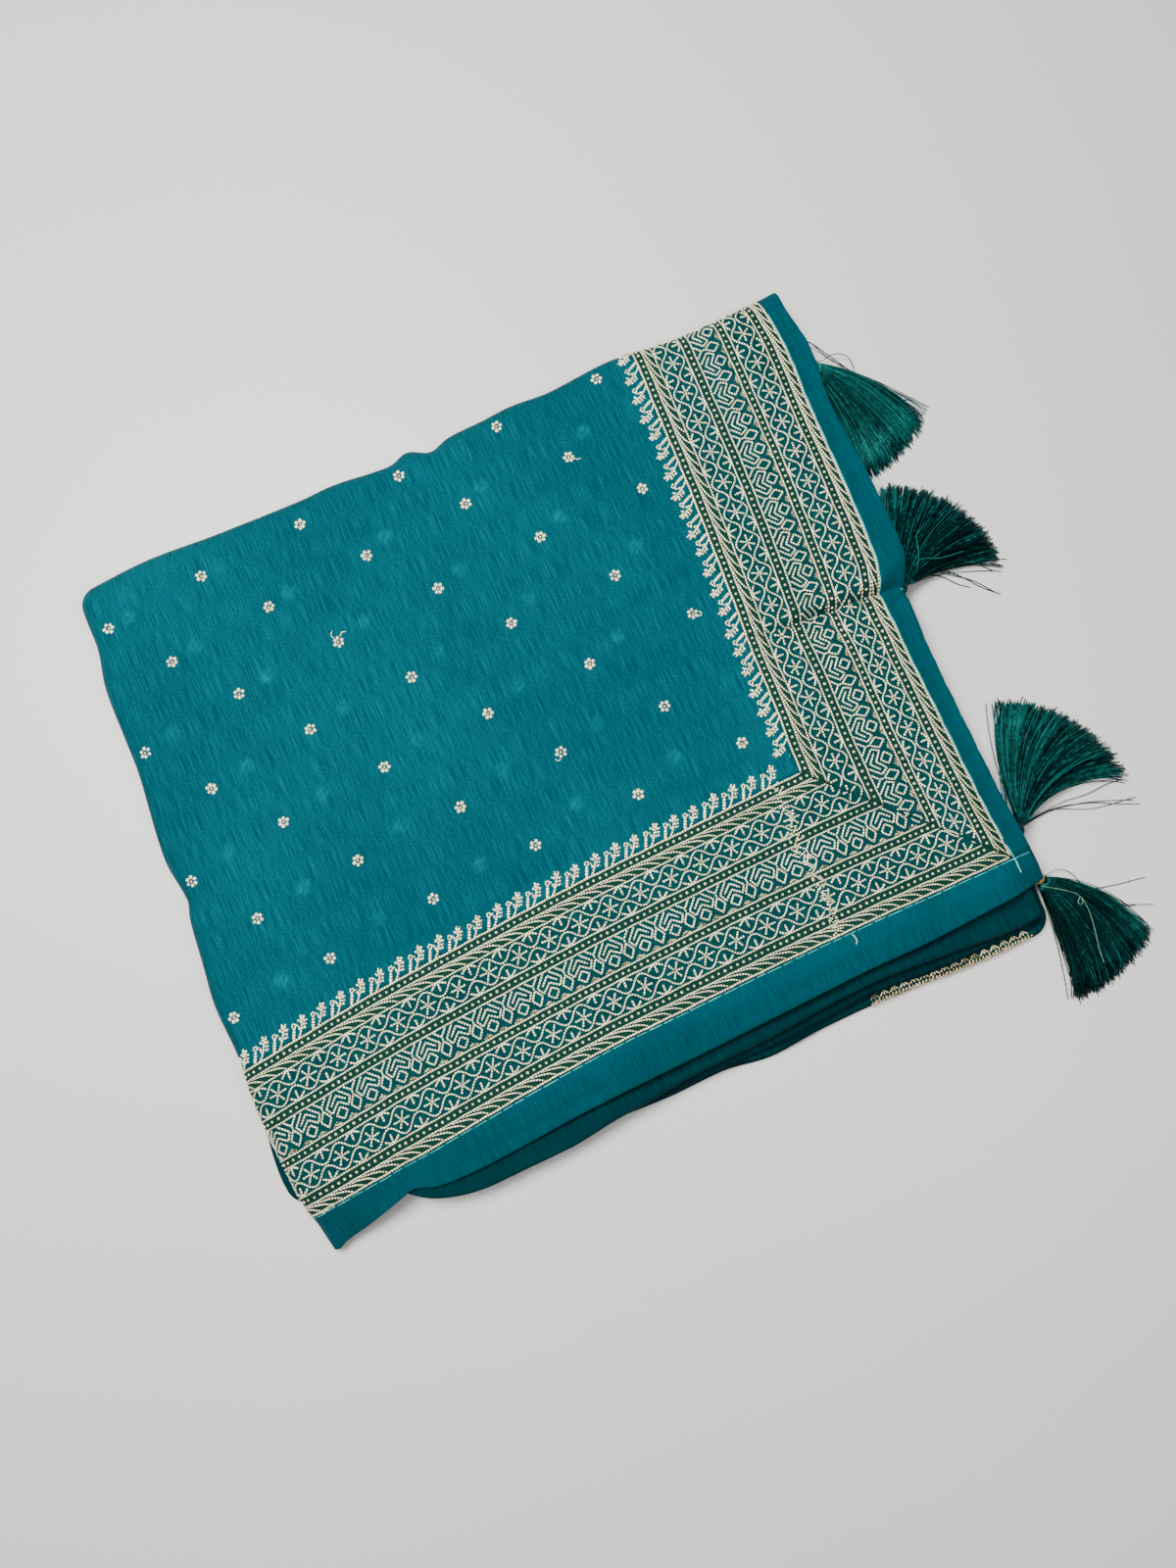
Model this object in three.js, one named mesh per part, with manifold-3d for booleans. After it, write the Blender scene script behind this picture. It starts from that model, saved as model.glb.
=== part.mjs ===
// A sari folded into a flat packet: its pallu corner lies on top, with an embroidered border along the
// selvedge, another across the pallu, plain turned hems outside them and silk tassels on the pallu's edge.
// Millimetres, +Z up. The packet rests on z = 0 with its middle at the origin; +X runs along the selvedge
// towards the pallu's edge, and +Y from the selvedge to the fold at the back.
import * as THREE from "three";
import { mergeVertices } from "three/addons/utils/BufferGeometryUtils.js";
import Module from "manifold-3d";

const wasm = await Module();
wasm.setup();

// ---- driving sizes ----
const CLOTH_WIDTH = 1150; // selvedge to selvedge
const WIDTH_LAYERS = 4; // the width is doubled over twice
const PANEL_DEPTH = CLOTH_WIDTH / WIDTH_LAYERS; // hem to back fold on the packet, 287.5
const WALL = 1.2; // cloth wall of the top panels
const SEAM = 0.3; // clear gap between sewn pieces
const EDGE_HEIGHT = 22.6; // middle of the top cloth, where it rolls over the folds
const CROWN = 2.4; // how much the soft packet stands up in the middle
const FOLD_RADIUS = 8.6; // middle of the cloth round the left and back folds
const FOLD_TURN = 150; // degrees that the folds roll over and under
const FOLD_DROP = 1 - Math.cos((FOLD_TURN * Math.PI) / 180); // drop of a roll for each unit of radius
const LOWEST_TOP = 4.7; // top of the lowest stretch
const INNER_DEPTH = 3.2; // the hidden layers' top lies this far under the top cloth's middle
const TASSEL_LENGTH = 62;
// The top cloth falls beyond the last layer that carries it: under the flap from y = -112, more steeply at
// the flap's left tip, and at the right side a little sooner and more gently in the back half.
const FLAP_FALL = { start: 112, slope: 0.45, tipSlope: 0.72, tipFrom: 128, tipTo: 160 };
const SIDE_FALL = { frontStart: 148, backStart: 146, frontSlope: 0.55, backSlope: 0.34, backTo: 30 };
const FALL_EASE = 6; // over which a fall begins
const CROWN_REACH = { x: 172, y: 158 }; // where the crown has run out
const ROLL_CLEARANCE = 1.4; // from the lowest stretch up to the middle of the rolled cloth
const TABLE_CLEARANCE = 1.2; // from the table up to the middle of the flap's tip
const PAST_LAYERS = { from: 119.5, to: 128 }; // -y where the roll leaves the lowest stretch behind

// ---- where the sewn lines lie on the packet: the soft cloth lies a little skewed ----
const PALLU_LINES = [
  // y along the pallu, and x of the border's inner and outer seams and of the hem's free edge
  { at: -125, inner: 86.6, outer: 155.2, edge: 165.4 },
  { at: -104, inner: 86.8, outer: 154.5, edge: 164.8 },
  { at: -80, inner: 87.4, outer: 153, edge: 163.4 },
  { at: -37, inner: 88.7, outer: 152.3, edge: 162.6 },
  { at: -8, inner: 90.5, outer: 151.8, edge: 162.6 },
  { at: 14, inner: 91.3, outer: 152.4, edge: 164.8 },
  { at: 32, inner: 92.8, outer: 157.5, edge: 171.4 },
  { at: 75, inner: 95.7, outer: 160.1, edge: 171.8 },
  { at: 100, inner: 97, outer: 160.6, edge: 170.4 },
  { at: 132, inner: 98.3, outer: 162.7, edge: 173.4 },
  { at: 148, inner: 99.1, outer: 161.4, edge: 170.6 },
  { at: 162, inner: 99.6, outer: 159.6, edge: 170 },
];
const LONG_LINES = [
  // x along the selvedge, and y of the border's inner and outer seams
  { at: -176, inner: -58.4, outer: -123.6 },
  { at: -142, inner: -53.9, outer: -120 },
  { at: -107, inner: -49.7, outer: -116.6 },
  { at: -59, inner: -45.8, outer: -111.7 },
  { at: -23, inner: -43.2, outer: -109.1 },
  { at: 4, inner: -41.9, outer: -108.3 },
  { at: 37, inner: -40.7, outer: -107.2 },
  { at: 88.6, inner: -38.5, outer: -106.4 },
  { at: 111, inner: -38.2, outer: -106.5 },
  { at: 154.6, inner: -38, outer: -106.5 },
  { at: 176, inner: -38, outer: -106.5 },
];
const INNER_CORNER = { x: 88.6, y: -38.5 };
const OUTER_CORNER = { x: 154.6, y: -106.5 };
const HALF_SEAM = SEAM / 2 + 0.05; // the clear gap is a little less where the walls curve

// ---- the outline of the top cloth, as the edges lie ----
const HALF_LENGTH = 166.8; // origin to the left fold, at the middle of it
const BACK_LINE = PANEL_DEPTH - 132; // origin to the back fold
const LEFT_FOLD = [
  // y along the fold, out beyond HALF_LENGTH
  { at: -140, out: 0 },
  { at: -115, out: 1.5 },
  { at: -93, out: 3 },
  { at: -73, out: 4 },
  { at: -50, out: 2.8 },
  { at: -28, out: 3.8 },
  { at: -13, out: 2.2 },
  { at: 9, out: -0.3 },
  { at: 16, out: -2.2 },
  { at: 36, out: 0 },
  { at: 75, out: -3.6 },
  { at: 92, out: -3.7 },
  { at: 113, out: -4.2 },
  { at: 129, out: -7.3 },
  { at: 142, out: -7.6 },
  { at: 158, out: -8 },
];
const BACK_FOLD = [
  // x along the fold, out beyond BACK_LINE
  { at: -160, out: -0.8 },
  { at: -127, out: 1.7 },
  { at: -95, out: 0.2 },
  { at: -56, out: -0.8 },
  { at: -40, out: -0.3 },
  { at: -22, out: -2 },
  { at: -14, out: -2.2 },
  { at: -6, out: 0.2 },
  { at: 3, out: -3.6 },
  { at: 12, out: -1 },
  { at: 30, out: 0 },
  { at: 43, out: 1 },
  { at: 60, out: 0 },
  { at: 90, out: 2.2 },
  { at: 120, out: -0.4 },
  { at: 150, out: 0.4 },
  { at: 172, out: 3.4 },
];
const HEM_EDGE = [
  // x along the long hem, y of its free edge
  { at: -172, out: -127 },
  { at: -167, out: -139.5 },
  { at: -160, out: -138 },
  { at: -145, out: -134.4 },
  { at: -130, out: -130 },
  { at: -124, out: -128.8 },
  { at: -116, out: -131.6 },
  { at: -96, out: -132.4 },
  { at: -47, out: -128.8 },
  { at: 14, out: -126.5 },
  { at: 82, out: -123.7 },
  { at: 109, out: -123.5 },
  { at: 142, out: -121.6 },
  { at: 170, out: -119.8 },
];
const TOP_CREASES = [
  // centre, direction in degrees, half length, half width and height of each soft ridge or trough
  { x: 148, y: 15, turn: 2, long: 40, wide: 6, high: -2.2 },
  { x: 150, y: 27, turn: 4, long: 34, wide: 6, high: 1 },
  { x: 146, y: 1, turn: -2, long: 30, wide: 6, high: 0.8 },
  { x: 10, y: 143, turn: -48, long: 22, wide: 4, high: -0.9 },
  { x: 15, y: -33, turn: 4, long: 90, wide: 6, high: -0.8 },
  { x: -124, y: -116, turn: 84, long: 20, wide: 6, high: -1.6 },
  { x: 78, y: 60, turn: 86, long: 70, wide: 8, high: -0.7 },
  { x: -120, y: 60, turn: 72, long: 80, wide: 16, high: -0.7 },
  { x: -30, y: 100, turn: 12, long: 90, wide: 12, high: 0.7 },
];

const rad = THREE.MathUtils.degToRad;
const lerp = THREE.MathUtils.lerp;
const clamp = THREE.MathUtils.clamp;
const smooth = THREE.MathUtils.smoothstep;

// A smooth curve through the rows of a table, which are in order of `at`.
function along(table, at, key = "out") {
  const last = table.length - 1;
  const x = clamp(at, table[0].at, table[last].at);
  let i = 0;
  while (i < last - 1 && x > table[i + 1].at) i++;
  const slope = (k) => {
    const a = table[Math.max(k - 1, 0)];
    const b = table[Math.min(k + 1, last)];
    return (b[key] - a[key]) / (b.at - a.at);
  };
  const step = table[i + 1].at - table[i].at;
  const t = (x - table[i].at) / step;
  const ease = t * t * (3 - 2 * t);
  return (
    lerp(table[i][key], table[i + 1][key], ease) +
    step * t * (1 - t) * ((1 - t) * slope(i) - t * slope(i + 1))
  );
}

const leftFold = (y) => -HALF_LENGTH - along(LEFT_FOLD, y);
const backFold = (x) => BACK_LINE + along(BACK_FOLD, x);

// How far the cloth has fallen, `reach` millimetres beyond where its fall starts.
const fall = (reach, slope) => (reach > 0 ? (slope * reach * reach) / (reach + FALL_EASE) : 0);

// Height of the middle of the top cloth over a point of the packet, before its creases.
function restingHeight(x, y) {
  const dome = (at, reach) => clamp(1 - (at / reach) ** 2, 0, 1);
  const crown = CROWN * dome(x, CROWN_REACH.x) * dome(y, CROWN_REACH.y);
  const tip = smooth(-x, FLAP_FALL.tipFrom, FLAP_FALL.tipTo);
  const front = fall(-FLAP_FALL.start - y, lerp(FLAP_FALL.slope, FLAP_FALL.tipSlope, tip));
  const back = smooth(y, 0, SIDE_FALL.backTo);
  const start = lerp(SIDE_FALL.frontStart, SIDE_FALL.backStart, back);
  const side = fall(x - start, lerp(SIDE_FALL.frontSlope, SIDE_FALL.backSlope, back));
  return EDGE_HEIGHT + crown - front - side;
}

function topHeight(x, y) {
  let z = restingHeight(x, y);
  for (const c of TOP_CREASES) {
    const cos = Math.cos(rad(c.turn));
    const sin = Math.sin(rad(c.turn));
    const s = ((x - c.x) * cos + (y - c.y) * sin) / c.long;
    const t = ((y - c.y) * cos - (x - c.x) * sin) / c.wide;
    z += c.high * Math.exp(-(s ** 4) - t * t);
  }
  return z;
}

// [along, up] of a unit square's corner laid onto a quarter disc, so that two rolls meet roundly.
const discOf = (a, b) => [a * Math.sqrt(1 - (b * b) / 2), b * Math.sqrt(1 - (a * a) / 2)];

// The folds roll over the inner layers, down to the lowest stretch, and past it down to the table.
const rollFloor = (y) =>
  lerp(LOWEST_TOP + ROLL_CLEARANCE, TABLE_CLEARANCE, smooth(-y, PAST_LAYERS.from, PAST_LAYERS.to));
const foldRadius = (x, y) => Math.min(FOLD_RADIUS, (topHeight(x, y) - rollFloor(y)) / FOLD_DROP);
const leftStart = (y) => leftFold(y) + foldRadius(leftFold(y) + 8, y);
const backStart = (x) => backFold(x) - foldRadius(x, backFold(x) - 8);

// A point of the top cloth's middle from its flat place (p, q) on the packet and the turns of its folds.
function clothPoint(p, q, leftTurn, backTurn) {
  const turn = Math.max(leftTurn, backTurn);
  const radius = foldRadius(p, q);
  const [ex, ey] = turn > 0 ? discOf(leftTurn / turn, backTurn / turn) : [0, 0];
  const out = radius * Math.sin(rad(turn));
  const drop = radius * (1 - Math.cos(rad(turn)));
  return new THREE.Vector3(p - out * ex, q + out * ey, topHeight(p, q) - drop);
}

// ---- sewn lines, each a curve across the flat packet, and `by` millimetres beside it ----
const palluLine = (key, by = 0) => (q) => along(PALLU_LINES, q, key) + by;
const longLine = (key, by = 0) => (p) => along(LONG_LINES, p, key) + by;
const MITRE_RUN = (OUTER_CORNER.x - INNER_CORNER.x) / (OUTER_CORNER.y - INNER_CORNER.y);
const MITRE_GAP = HALF_SEAM * Math.SQRT2;
const mitreLeft = (q) => INNER_CORNER.x + (q - INNER_CORNER.y) * MITRE_RUN - MITRE_GAP;
const mitreNear = (p) => INNER_CORNER.y + (p - INNER_CORNER.x) / MITRE_RUN + MITRE_GAP;
const hemEdge = (p) => along(HEM_EDGE, p);

// Turns of a rolled edge, outermost first.
const ROLL = [1, 0.82, 0.64, 0.46, 0.3, 0.15].map((share) => share * FOLD_TURN);

// The stations of a patch: rolled ones with their turn, then flat ones with their share of the way.
function stations(rolled, count) {
  const flat = [...Array(count + 1).keys()].map((i) => ({ turn: 0, share: i / count }));
  return rolled ? [...ROLL.map((turn) => ({ turn, share: 0 })), ...flat] : flat;
}

const SETTLING_PASSES = 6; // two edges that meet each depend on the other's place, and settle in turn
const NUDGE_TURN = 1; // degrees, and
const NUDGE_SHARE = 0.004; // share of the way, that a normal is measured over

// A wall of cloth between four edges of the top. left and right give p at a q, near and far give q at a p.
function clothWall({ left, right, near, far, columns, rows, rollLeft = false, rollBack = false }) {
  const across = stations(rollLeft, columns);
  const up = stations(rollBack, rows)
    .map(({ turn, share }) => ({ turn, share: 1 - share }))
    .reverse();
  const meet = (edge, share) => {
    let p = 0;
    let q = 0;
    for (let pass = 0; pass < SETTLING_PASSES; pass++) {
      q = edge(p);
      p = lerp(left(q), right(q), share);
    }
    return q;
  };
  const place = (column, row) => {
    const q = lerp(meet(near, column.share), meet(far, column.share), row.share);
    return clothPoint(lerp(left(q), right(q), column.share), q, column.turn, row.turn);
  };
  const nudge = ({ turn, share }, way, outward) =>
    turn > 0
      ? { turn: turn + way * outward * NUDGE_TURN, share }
      : { turn, share: share + way * NUDGE_SHARE };
  const grid = up.map((row) =>
    across.map((column) => {
      const run = place(nudge(column, 1, -1), row).sub(place(nudge(column, -1, -1), row));
      const rise = place(column, nudge(row, 1, 1)).sub(place(column, nudge(row, -1, 1)));
      return { at: place(column, row), normal: run.cross(rise).normalize() };
    }),
  );
  return wallGeometry(grid, WALL);
}

// The normals of a plain grid of points, from its neighbours.
function withNormals(points) {
  const columns = points[0].length;
  return points.map((row, r) =>
    row.map((at, c) => {
      const run = row[Math.min(c + 1, columns - 1)].clone().sub(row[Math.max(c - 1, 0)]);
      const ahead = points[Math.min(r + 1, points.length - 1)][c];
      const rise = ahead.clone().sub(points[Math.max(r - 1, 0)][c]);
      return { at, normal: run.cross(rise).normalize() };
    }),
  );
}

// Closes a grid of middle points and normals into a wall of the given thickness.
function wallGeometry(grid, thickness) {
  const rows = grid.length;
  const columns = grid[0].length;
  const shifted = (by) => grid.flat().map(({ at, normal }) => at.clone().addScaledVector(normal, by));
  const outer = shifted(thickness / 2);
  const inner = shifted(-thickness / 2);
  const index = [];
  const back = rows * columns;
  const quad = (a, b, c, d) => index.push(a, b, c, a, c, d);
  const id = (r, c) => r * columns + c;
  for (let r = 0; r + 1 < rows; r++) {
    for (let c = 0; c + 1 < columns; c++) {
      quad(id(r, c), id(r, c + 1), id(r + 1, c + 1), id(r + 1, c));
      quad(back + id(r, c), back + id(r + 1, c), back + id(r + 1, c + 1), back + id(r, c + 1));
    }
  }
  const side = (a, b) => quad(b, a, back + a, back + b);
  for (let c = 0; c + 1 < columns; c++) {
    side(id(0, c), id(0, c + 1));
    side(id(rows - 1, c + 1), id(rows - 1, c));
  }
  for (let r = 0; r + 1 < rows; r++) {
    side(id(r + 1, 0), id(r, 0));
    side(id(r, columns - 1), id(r + 1, columns - 1));
  }
  return geometryOf([...outer, ...inner], index);
}

function geometryOf(points, index) {
  const geometry = new THREE.BufferGeometry().setFromPoints(points);
  geometry.setIndex(index);
  geometry.computeVertexNormals();
  return geometry;
}

// ---- the folded layers under the top cloth ----
const SECOND_FRONT = [
  // x along the front, y of the second stretch's fold
  { at: -165, out: -112 },
  { at: -148, out: -119 },
  { at: -134, out: -126 },
  { at: -122, out: -135 },
  { at: -110, out: -139.6 },
  { at: -95, out: -141 },
  { at: -60, out: -140.3 },
  { at: -35, out: -137.6 },
  { at: 0, out: -134.5 },
  { at: 40, out: -133.2 },
  { at: 75, out: -130.5 },
  { at: 110, out: -132 },
  { at: 140, out: -134.5 },
  { at: 162, out: -134 },
];
const INNER_FRONT = [
  // x along the front, y of the hidden folds' edge
  { at: -165, out: -114 },
  { at: -134, out: -124 },
  { at: -110, out: -136 },
  { at: -60, out: -138 },
  { at: -30, out: -138.6 },
  { at: 10, out: -138 },
  { at: 45, out: -138.8 },
  { at: 80, out: -136.5 },
  { at: 120, out: -138.3 },
  { at: 162, out: -137.5 },
];
const LOWEST_FRONT = [
  // x along the front, y of the lowest stretch's edge
  { at: -170, out: -117 },
  { at: -134, out: -123 },
  { at: -110, out: -134 },
  { at: -60, out: -138 },
  { at: -22, out: -140.6 },
  { at: 10, out: -140 },
  { at: 33, out: -143 },
  { at: 60, out: -141.3 },
  { at: 95, out: -140.8 },
  { at: 150, out: -141.4 },
  { at: 164, out: -139 },
];
const RIGHT_SIDE = [
  // y along the right side, x of the layers' ends
  { at: -140, out: 161 },
  { at: -125, out: 163 },
  { at: -100, out: 159.5 },
  { at: -40, out: 157.5 },
  { at: 10, out: 158.5 },
  { at: 60, out: 163 },
  { at: 140, out: 163.5 },
];
const LOWEST_LEFT = [
  // y along the left side, x of the lowest stretch's fold
  { at: -118, out: -177 },
  { at: -104, out: -177.4 },
  { at: -85, out: -175.6 },
  { at: -60, out: -171 },
  { at: -20, out: -169 },
  { at: 40, out: -166.5 },
  { at: 100, out: -162.5 },
  { at: 150, out: -158.5 },
];

const SIDE_STEPS = { front: 16, right: 9, back: 10, left: 9 };
const CORNER_STEPS = 4;
const PROFILE = [-90, -25, 40]; // degrees round each fold's edge; the next fold closes it
const CAP_STEPS = [5, 14, 32, 64]; // how far in the rings of the top lie

// The same number of points round a rounded outline each time, set in by its own amount on each side.
function ring(outline, set, z) {
  const front = (x) => outline.front(x) + set.front;
  const right = (y) => outline.right(y) - set.right;
  const back = (x) => outline.back(x) - set.rolled;
  const left = (y) => outline.left(y) + set.rolled;
  const r = outline.corner;
  const west = left(0) + r;
  const east = right(0) - r;
  const south = front(0) + r;
  const north = back(0) - r;
  const centres = [
    [left(south) + r, front(west) + r],
    [right(south) - r, front(east) + r],
    [right(north) - r, back(east) - r],
    [left(north) + r, back(west) - r],
  ];
  const sides = [
    { count: SIDE_STEPS.front, place: (x) => [x, front(x)], along: 0 },
    { count: SIDE_STEPS.right, place: (x, y) => [right(y), y], along: 1 },
    { count: SIDE_STEPS.back, place: (x) => [x, back(x)], along: 0 },
    { count: SIDE_STEPS.left, place: (x, y) => [left(y), y], along: 1 },
  ];
  const points = [];
  sides.forEach(({ count, place }, i) => {
    const [cx, cy] = centres[i];
    const [nx, ny] = centres[(i + 1) % centres.length];
    for (let k = 0; k <= CORNER_STEPS; k++) {
      const angle = rad(180 + 90 * (i + k / CORNER_STEPS));
      points.push([cx + r * Math.cos(angle), cy + r * Math.sin(angle)]);
    }
    for (let k = 1; k < count; k++) points.push(place(lerp(cx, nx, k / count), lerp(cy, ny, k / count)));
  });
  return points.map(([x, y]) => new THREE.Vector3(x, y, typeof z === "function" ? z(x, y) : z));
}

// Stacked rings joined into one closed solid, with a flat floor and a fan at the top.
function ringSolid(rings, topCentre) {
  const count = rings[0].length;
  const points = rings.flat();
  const index = [];
  for (let r = 0; r + 1 < rings.length; r++) {
    for (let i = 0; i < count; i++) {
      const a = r * count + i;
      const b = r * count + ((i + 1) % count);
      index.push(a, b, b + count, a, b + count, a + count);
    }
  }
  const floor = rings[0].map((v) => new THREE.Vector2(v.x, v.y));
  for (const [a, b, c] of THREE.ShapeUtils.triangulateShape(floor, [])) index.push(a, c, b);
  const last = (rings.length - 1) * count;
  points.push(topCentre);
  for (let i = 0; i < count; i++) index.push(last + i, last + ((i + 1) % count), points.length - 1);
  return geometryOf(points, index);
}

// A stack of soft folds. Each fold bulges at the edge by `depth`, and the top rises inwards to `topAt`.
function foldStack(outline, folds, depth, topAt) {
  const setIn = (fold, by) => ({
    front: fold.front + by,
    right: fold.right + by,
    rolled: fold.rolled + by,
  });
  const rings = folds.flatMap((fold) => {
    const half = (fold.to - fold.from) / 2;
    return PROFILE.map((angle) => {
      const by = depth * (1 - Math.cos(rad(angle)));
      return ring(outline, setIn(fold, by), fold.from + half * (1 + Math.sin(rad(angle))));
    });
  });
  const last = folds[folds.length - 1];
  rings.push(ring(outline, setIn(last, depth), last.to));
  for (const step of CAP_STEPS) {
    const rise = smooth(step, 0, CAP_STEPS[1]);
    rings.push(ring(outline, setIn(last, depth + step), (x, y) => lerp(last.to, topAt(x, y), rise)));
  }
  return ringSolid(rings, new THREE.Vector3(0, 0, topAt(0, 0)));
}

const rightSide = (y) => along(RIGHT_SIDE, y);

function innerFolds() {
  const outline = {
    front: (x) => along(INNER_FRONT, x),
    right: rightSide,
    back: backFold,
    left: leftFold,
    corner: 8,
  };
  const folds = [
    // height of each fold, and how far it is set in from the outline
    { from: 5, to: 7.2, front: 0, right: 0.2, rolled: 6.6 },
    { from: 7.2, to: 9.4, front: 0.8, right: 1.2, rolled: 6.8 },
    { from: 9.4, to: 11.9, front: 10, right: 1.4, rolled: 4.4 },
    { from: 11.9, to: 14.4, front: 38, right: 4.4, rolled: 3.2 },
    { from: 14.4, to: 16.4, front: 40, right: 9, rolled: 3.4 },
  ];
  return foldStack(outline, folds, 1.5, (x, y) => restingHeight(x, y) - INNER_DEPTH);
}

function lowestStretch() {
  const outline = {
    front: (x) => along(LOWEST_FRONT, x),
    right: (y) => rightSide(y) + 1.8,
    back: (x) => backFold(x) - 1,
    left: (y) => along(LOWEST_LEFT, y),
    corner: 9,
  };
  const folds = [
    { from: 0, to: 2.4, front: 0, right: 0, rolled: 0 },
    { from: 2.4, to: LOWEST_TOP, front: 0.8, right: 0.8, rolled: 0.8 },
  ];
  return foldStack(outline, folds, 1.4, () => LOWEST_TOP);
}

// The fold under the front flap: a wall from far under the flap, over its edge and back beneath.
const SECOND_BACK = -104;
const SECOND_EDGE_HEIGHT = 13.4;
const SECOND_RADIUS = 1.5;
const SECOND_RISE = 2.4;
const SECOND_TURNS = [0, 40, 80, 120, 160];
const SECOND_STEPS = 4;
const SECOND_COLUMNS = 24;
const SECOND_WEST = -146;
const SECOND_EAST = 158.5;

function secondStretch() {
  const rows = [
    ...SECOND_TURNS.map((turn) => ({ turn, share: 0 })).reverse(),
    ...[...Array(SECOND_STEPS).keys()].map((i) => ({ turn: 0, share: (i + 1) / SECOND_STEPS })),
  ];
  const middle = rows.map(({ turn, share }) =>
    [...Array(SECOND_COLUMNS + 1).keys()].map((i) => {
      const x = lerp(SECOND_WEST, SECOND_EAST, i / SECOND_COLUMNS);
      const edge = along(SECOND_FRONT, x) + SECOND_RADIUS;
      const y = lerp(edge, SECOND_BACK, share) - SECOND_RADIUS * Math.sin(rad(turn));
      const drop = SECOND_RADIUS * (1 - Math.cos(rad(turn)));
      return new THREE.Vector3(x, y, SECOND_EDGE_HEIGHT + SECOND_RISE * smooth(share, 0, 1) - drop);
    }),
  );
  return wallGeometry(withNormals(middle), WALL);
}

// ---- tassels ----
const HANG = 2.9; // from the top cloth's middle down to a tassel's root under it
const TASSELS = [
  // root under the hem, directions of the head and of the fan, the fan's spread and its length as a share
  { x: 170.4, y: 128, head: -66, heading: -71, spread: 44, size: 1.02 },
  { x: 163.2, y: 14, z: 13.6, head: 35, heading: 35, spread: 82, size: 0.88 },
  { x: 163.4, y: -100, head: 36, heading: 36, spread: 68, size: 1 },
  { x: 162.5, y: -117.6, z: 9.6, head: -42, heading: -73, spread: 44, size: 0.99 },
];
const STRANDS = 45;
const STRAND_ROWS = 3;
const STRAND_RADIUS = 0.64;
const STRAND_STATIONS = [
  // share of the way along a strand, and its thickness there as a share
  { t: 0, thick: 0.5 },
  { t: 0.25, thick: 0.85 },
  { t: 0.6, thick: 1 },
  { t: 1, thick: 0.7 },
];
const HEAD_PITCH = 30; // degrees that the head points down from the hem
const HEAD = [
  // how far along the head, and its radius there: knot, waist for the wrap, skirt
  { at: 0, r: 0 },
  { at: 0.6, r: 1.9 },
  { at: 2.4, r: 2.6 },
  { at: 4.2, r: 2.2 },
  { at: 5.2, r: 1.9 },
  { at: 6.6, r: 2.1 },
  { at: 8.4, r: 2.7 },
  { at: 9, r: 0 },
];
const HEAD_SIDES = 8;
const SKIRT_AT = 7.2; // where along the head the strands leave it
const SKIRT_WIDTH = 3.2;
const SKIRT_ROW_STEP = 1.3; // height between the strand rows where they leave the head
const FLOOR_ROW = 1.3; // height of the lowest row on the table
const ROW_STEP = 2.3; // height between the rows half way out
const ROW_SETTLE = 1.1; // how much of that the tips lose
const DROP_POWER = 2.2; // how soon the strands come down to the table
const LONGEST_ROW = 1;
const ROW_SHORTER = 0.05; // the other rows' strands are this share shorter
const LENGTH_VARY = 0.03;
const HEADING_VARY = 0.6; // degrees
const WRAP_PLACE = 5.3;
const WRAP_TUBE = 0.7;
const WRAP_SIDES = { tube: 6, ring: 14 };
const WRAP_RING = 3; // middle of the wire coil, clear of the waist

// A repeatable number from -1 to 1 for the i-th of something, in its own series.
function vary(i, series) {
  const s = Math.sin(i * 12.9898 + series * 78.233) * 43758.5453;
  return (s - Math.floor(s)) * 2 - 1;
}

function manifoldOf(geometry) {
  const bare = geometry.clone();
  bare.deleteAttribute("normal");
  bare.deleteAttribute("uv");
  const merged = mergeVertices(bare, 1e-4);
  return new wasm.Manifold(
    new wasm.Mesh({
      numProp: 3,
      vertProperties: merged.attributes.position.array,
      triVerts: new Uint32Array(merged.index.array),
    }),
  );
}

function geometryFrom(manifold) {
  const mesh = manifold.getMesh();
  const geometry = new THREE.BufferGeometry();
  geometry.setAttribute("position", new THREE.BufferAttribute(mesh.vertProperties, 3));
  geometry.setIndex(new THREE.BufferAttribute(mesh.triVerts, 1));
  geometry.computeVertexNormals();
  return geometry;
}

// The place of a tassel's head: at its root, pointing along its heading and down.
function headPlace(tassel) {
  const flat = rad(tassel.head);
  const down = rad(HEAD_PITCH);
  const axis = new THREE.Vector3(
    Math.cos(flat) * Math.cos(down),
    Math.sin(flat) * Math.cos(down),
    -Math.sin(down),
  );
  const turn = new THREE.Quaternion().setFromUnitVectors(new THREE.Vector3(0, 1, 0), axis);
  return new THREE.Matrix4().compose(
    new THREE.Vector3(tassel.x, tassel.y, tassel.z ?? topHeight(tassel.x, tassel.y) - HANG),
    turn,
    new THREE.Vector3(1, 1, 1),
  );
}

// One tapering three-sided strand through its points.
function strand(points) {
  const rings = points.map((point, i) => {
    const ahead = points[Math.min(i + 1, points.length - 1)];
    const behind = points[Math.max(i - 1, 0)];
    const run = ahead.clone().sub(behind).normalize();
    const side = new THREE.Vector3(-run.y, run.x, 0).normalize();
    const up = run.clone().cross(side).normalize();
    const r = STRAND_RADIUS * STRAND_STATIONS[i].thick;
    return [90, 210, 330].map((angle) =>
      point
        .clone()
        .addScaledVector(side, r * Math.cos(rad(angle)))
        .addScaledVector(up, -r * Math.sin(rad(angle))),
    );
  });
  const index = [];
  for (let i = 0; i + 1 < rings.length; i++) {
    for (let k = 0; k < 3; k++) {
      const a = i * 3 + k;
      const b = i * 3 + ((k + 1) % 3);
      index.push(a, a + 3, b, b, a + 3, b + 3);
    }
  }
  const end = (rings.length - 1) * 3;
  index.push(0, 1, 2, end, end + 2, end + 1);
  return geometryOf(rings.flat(), index);
}

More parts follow.
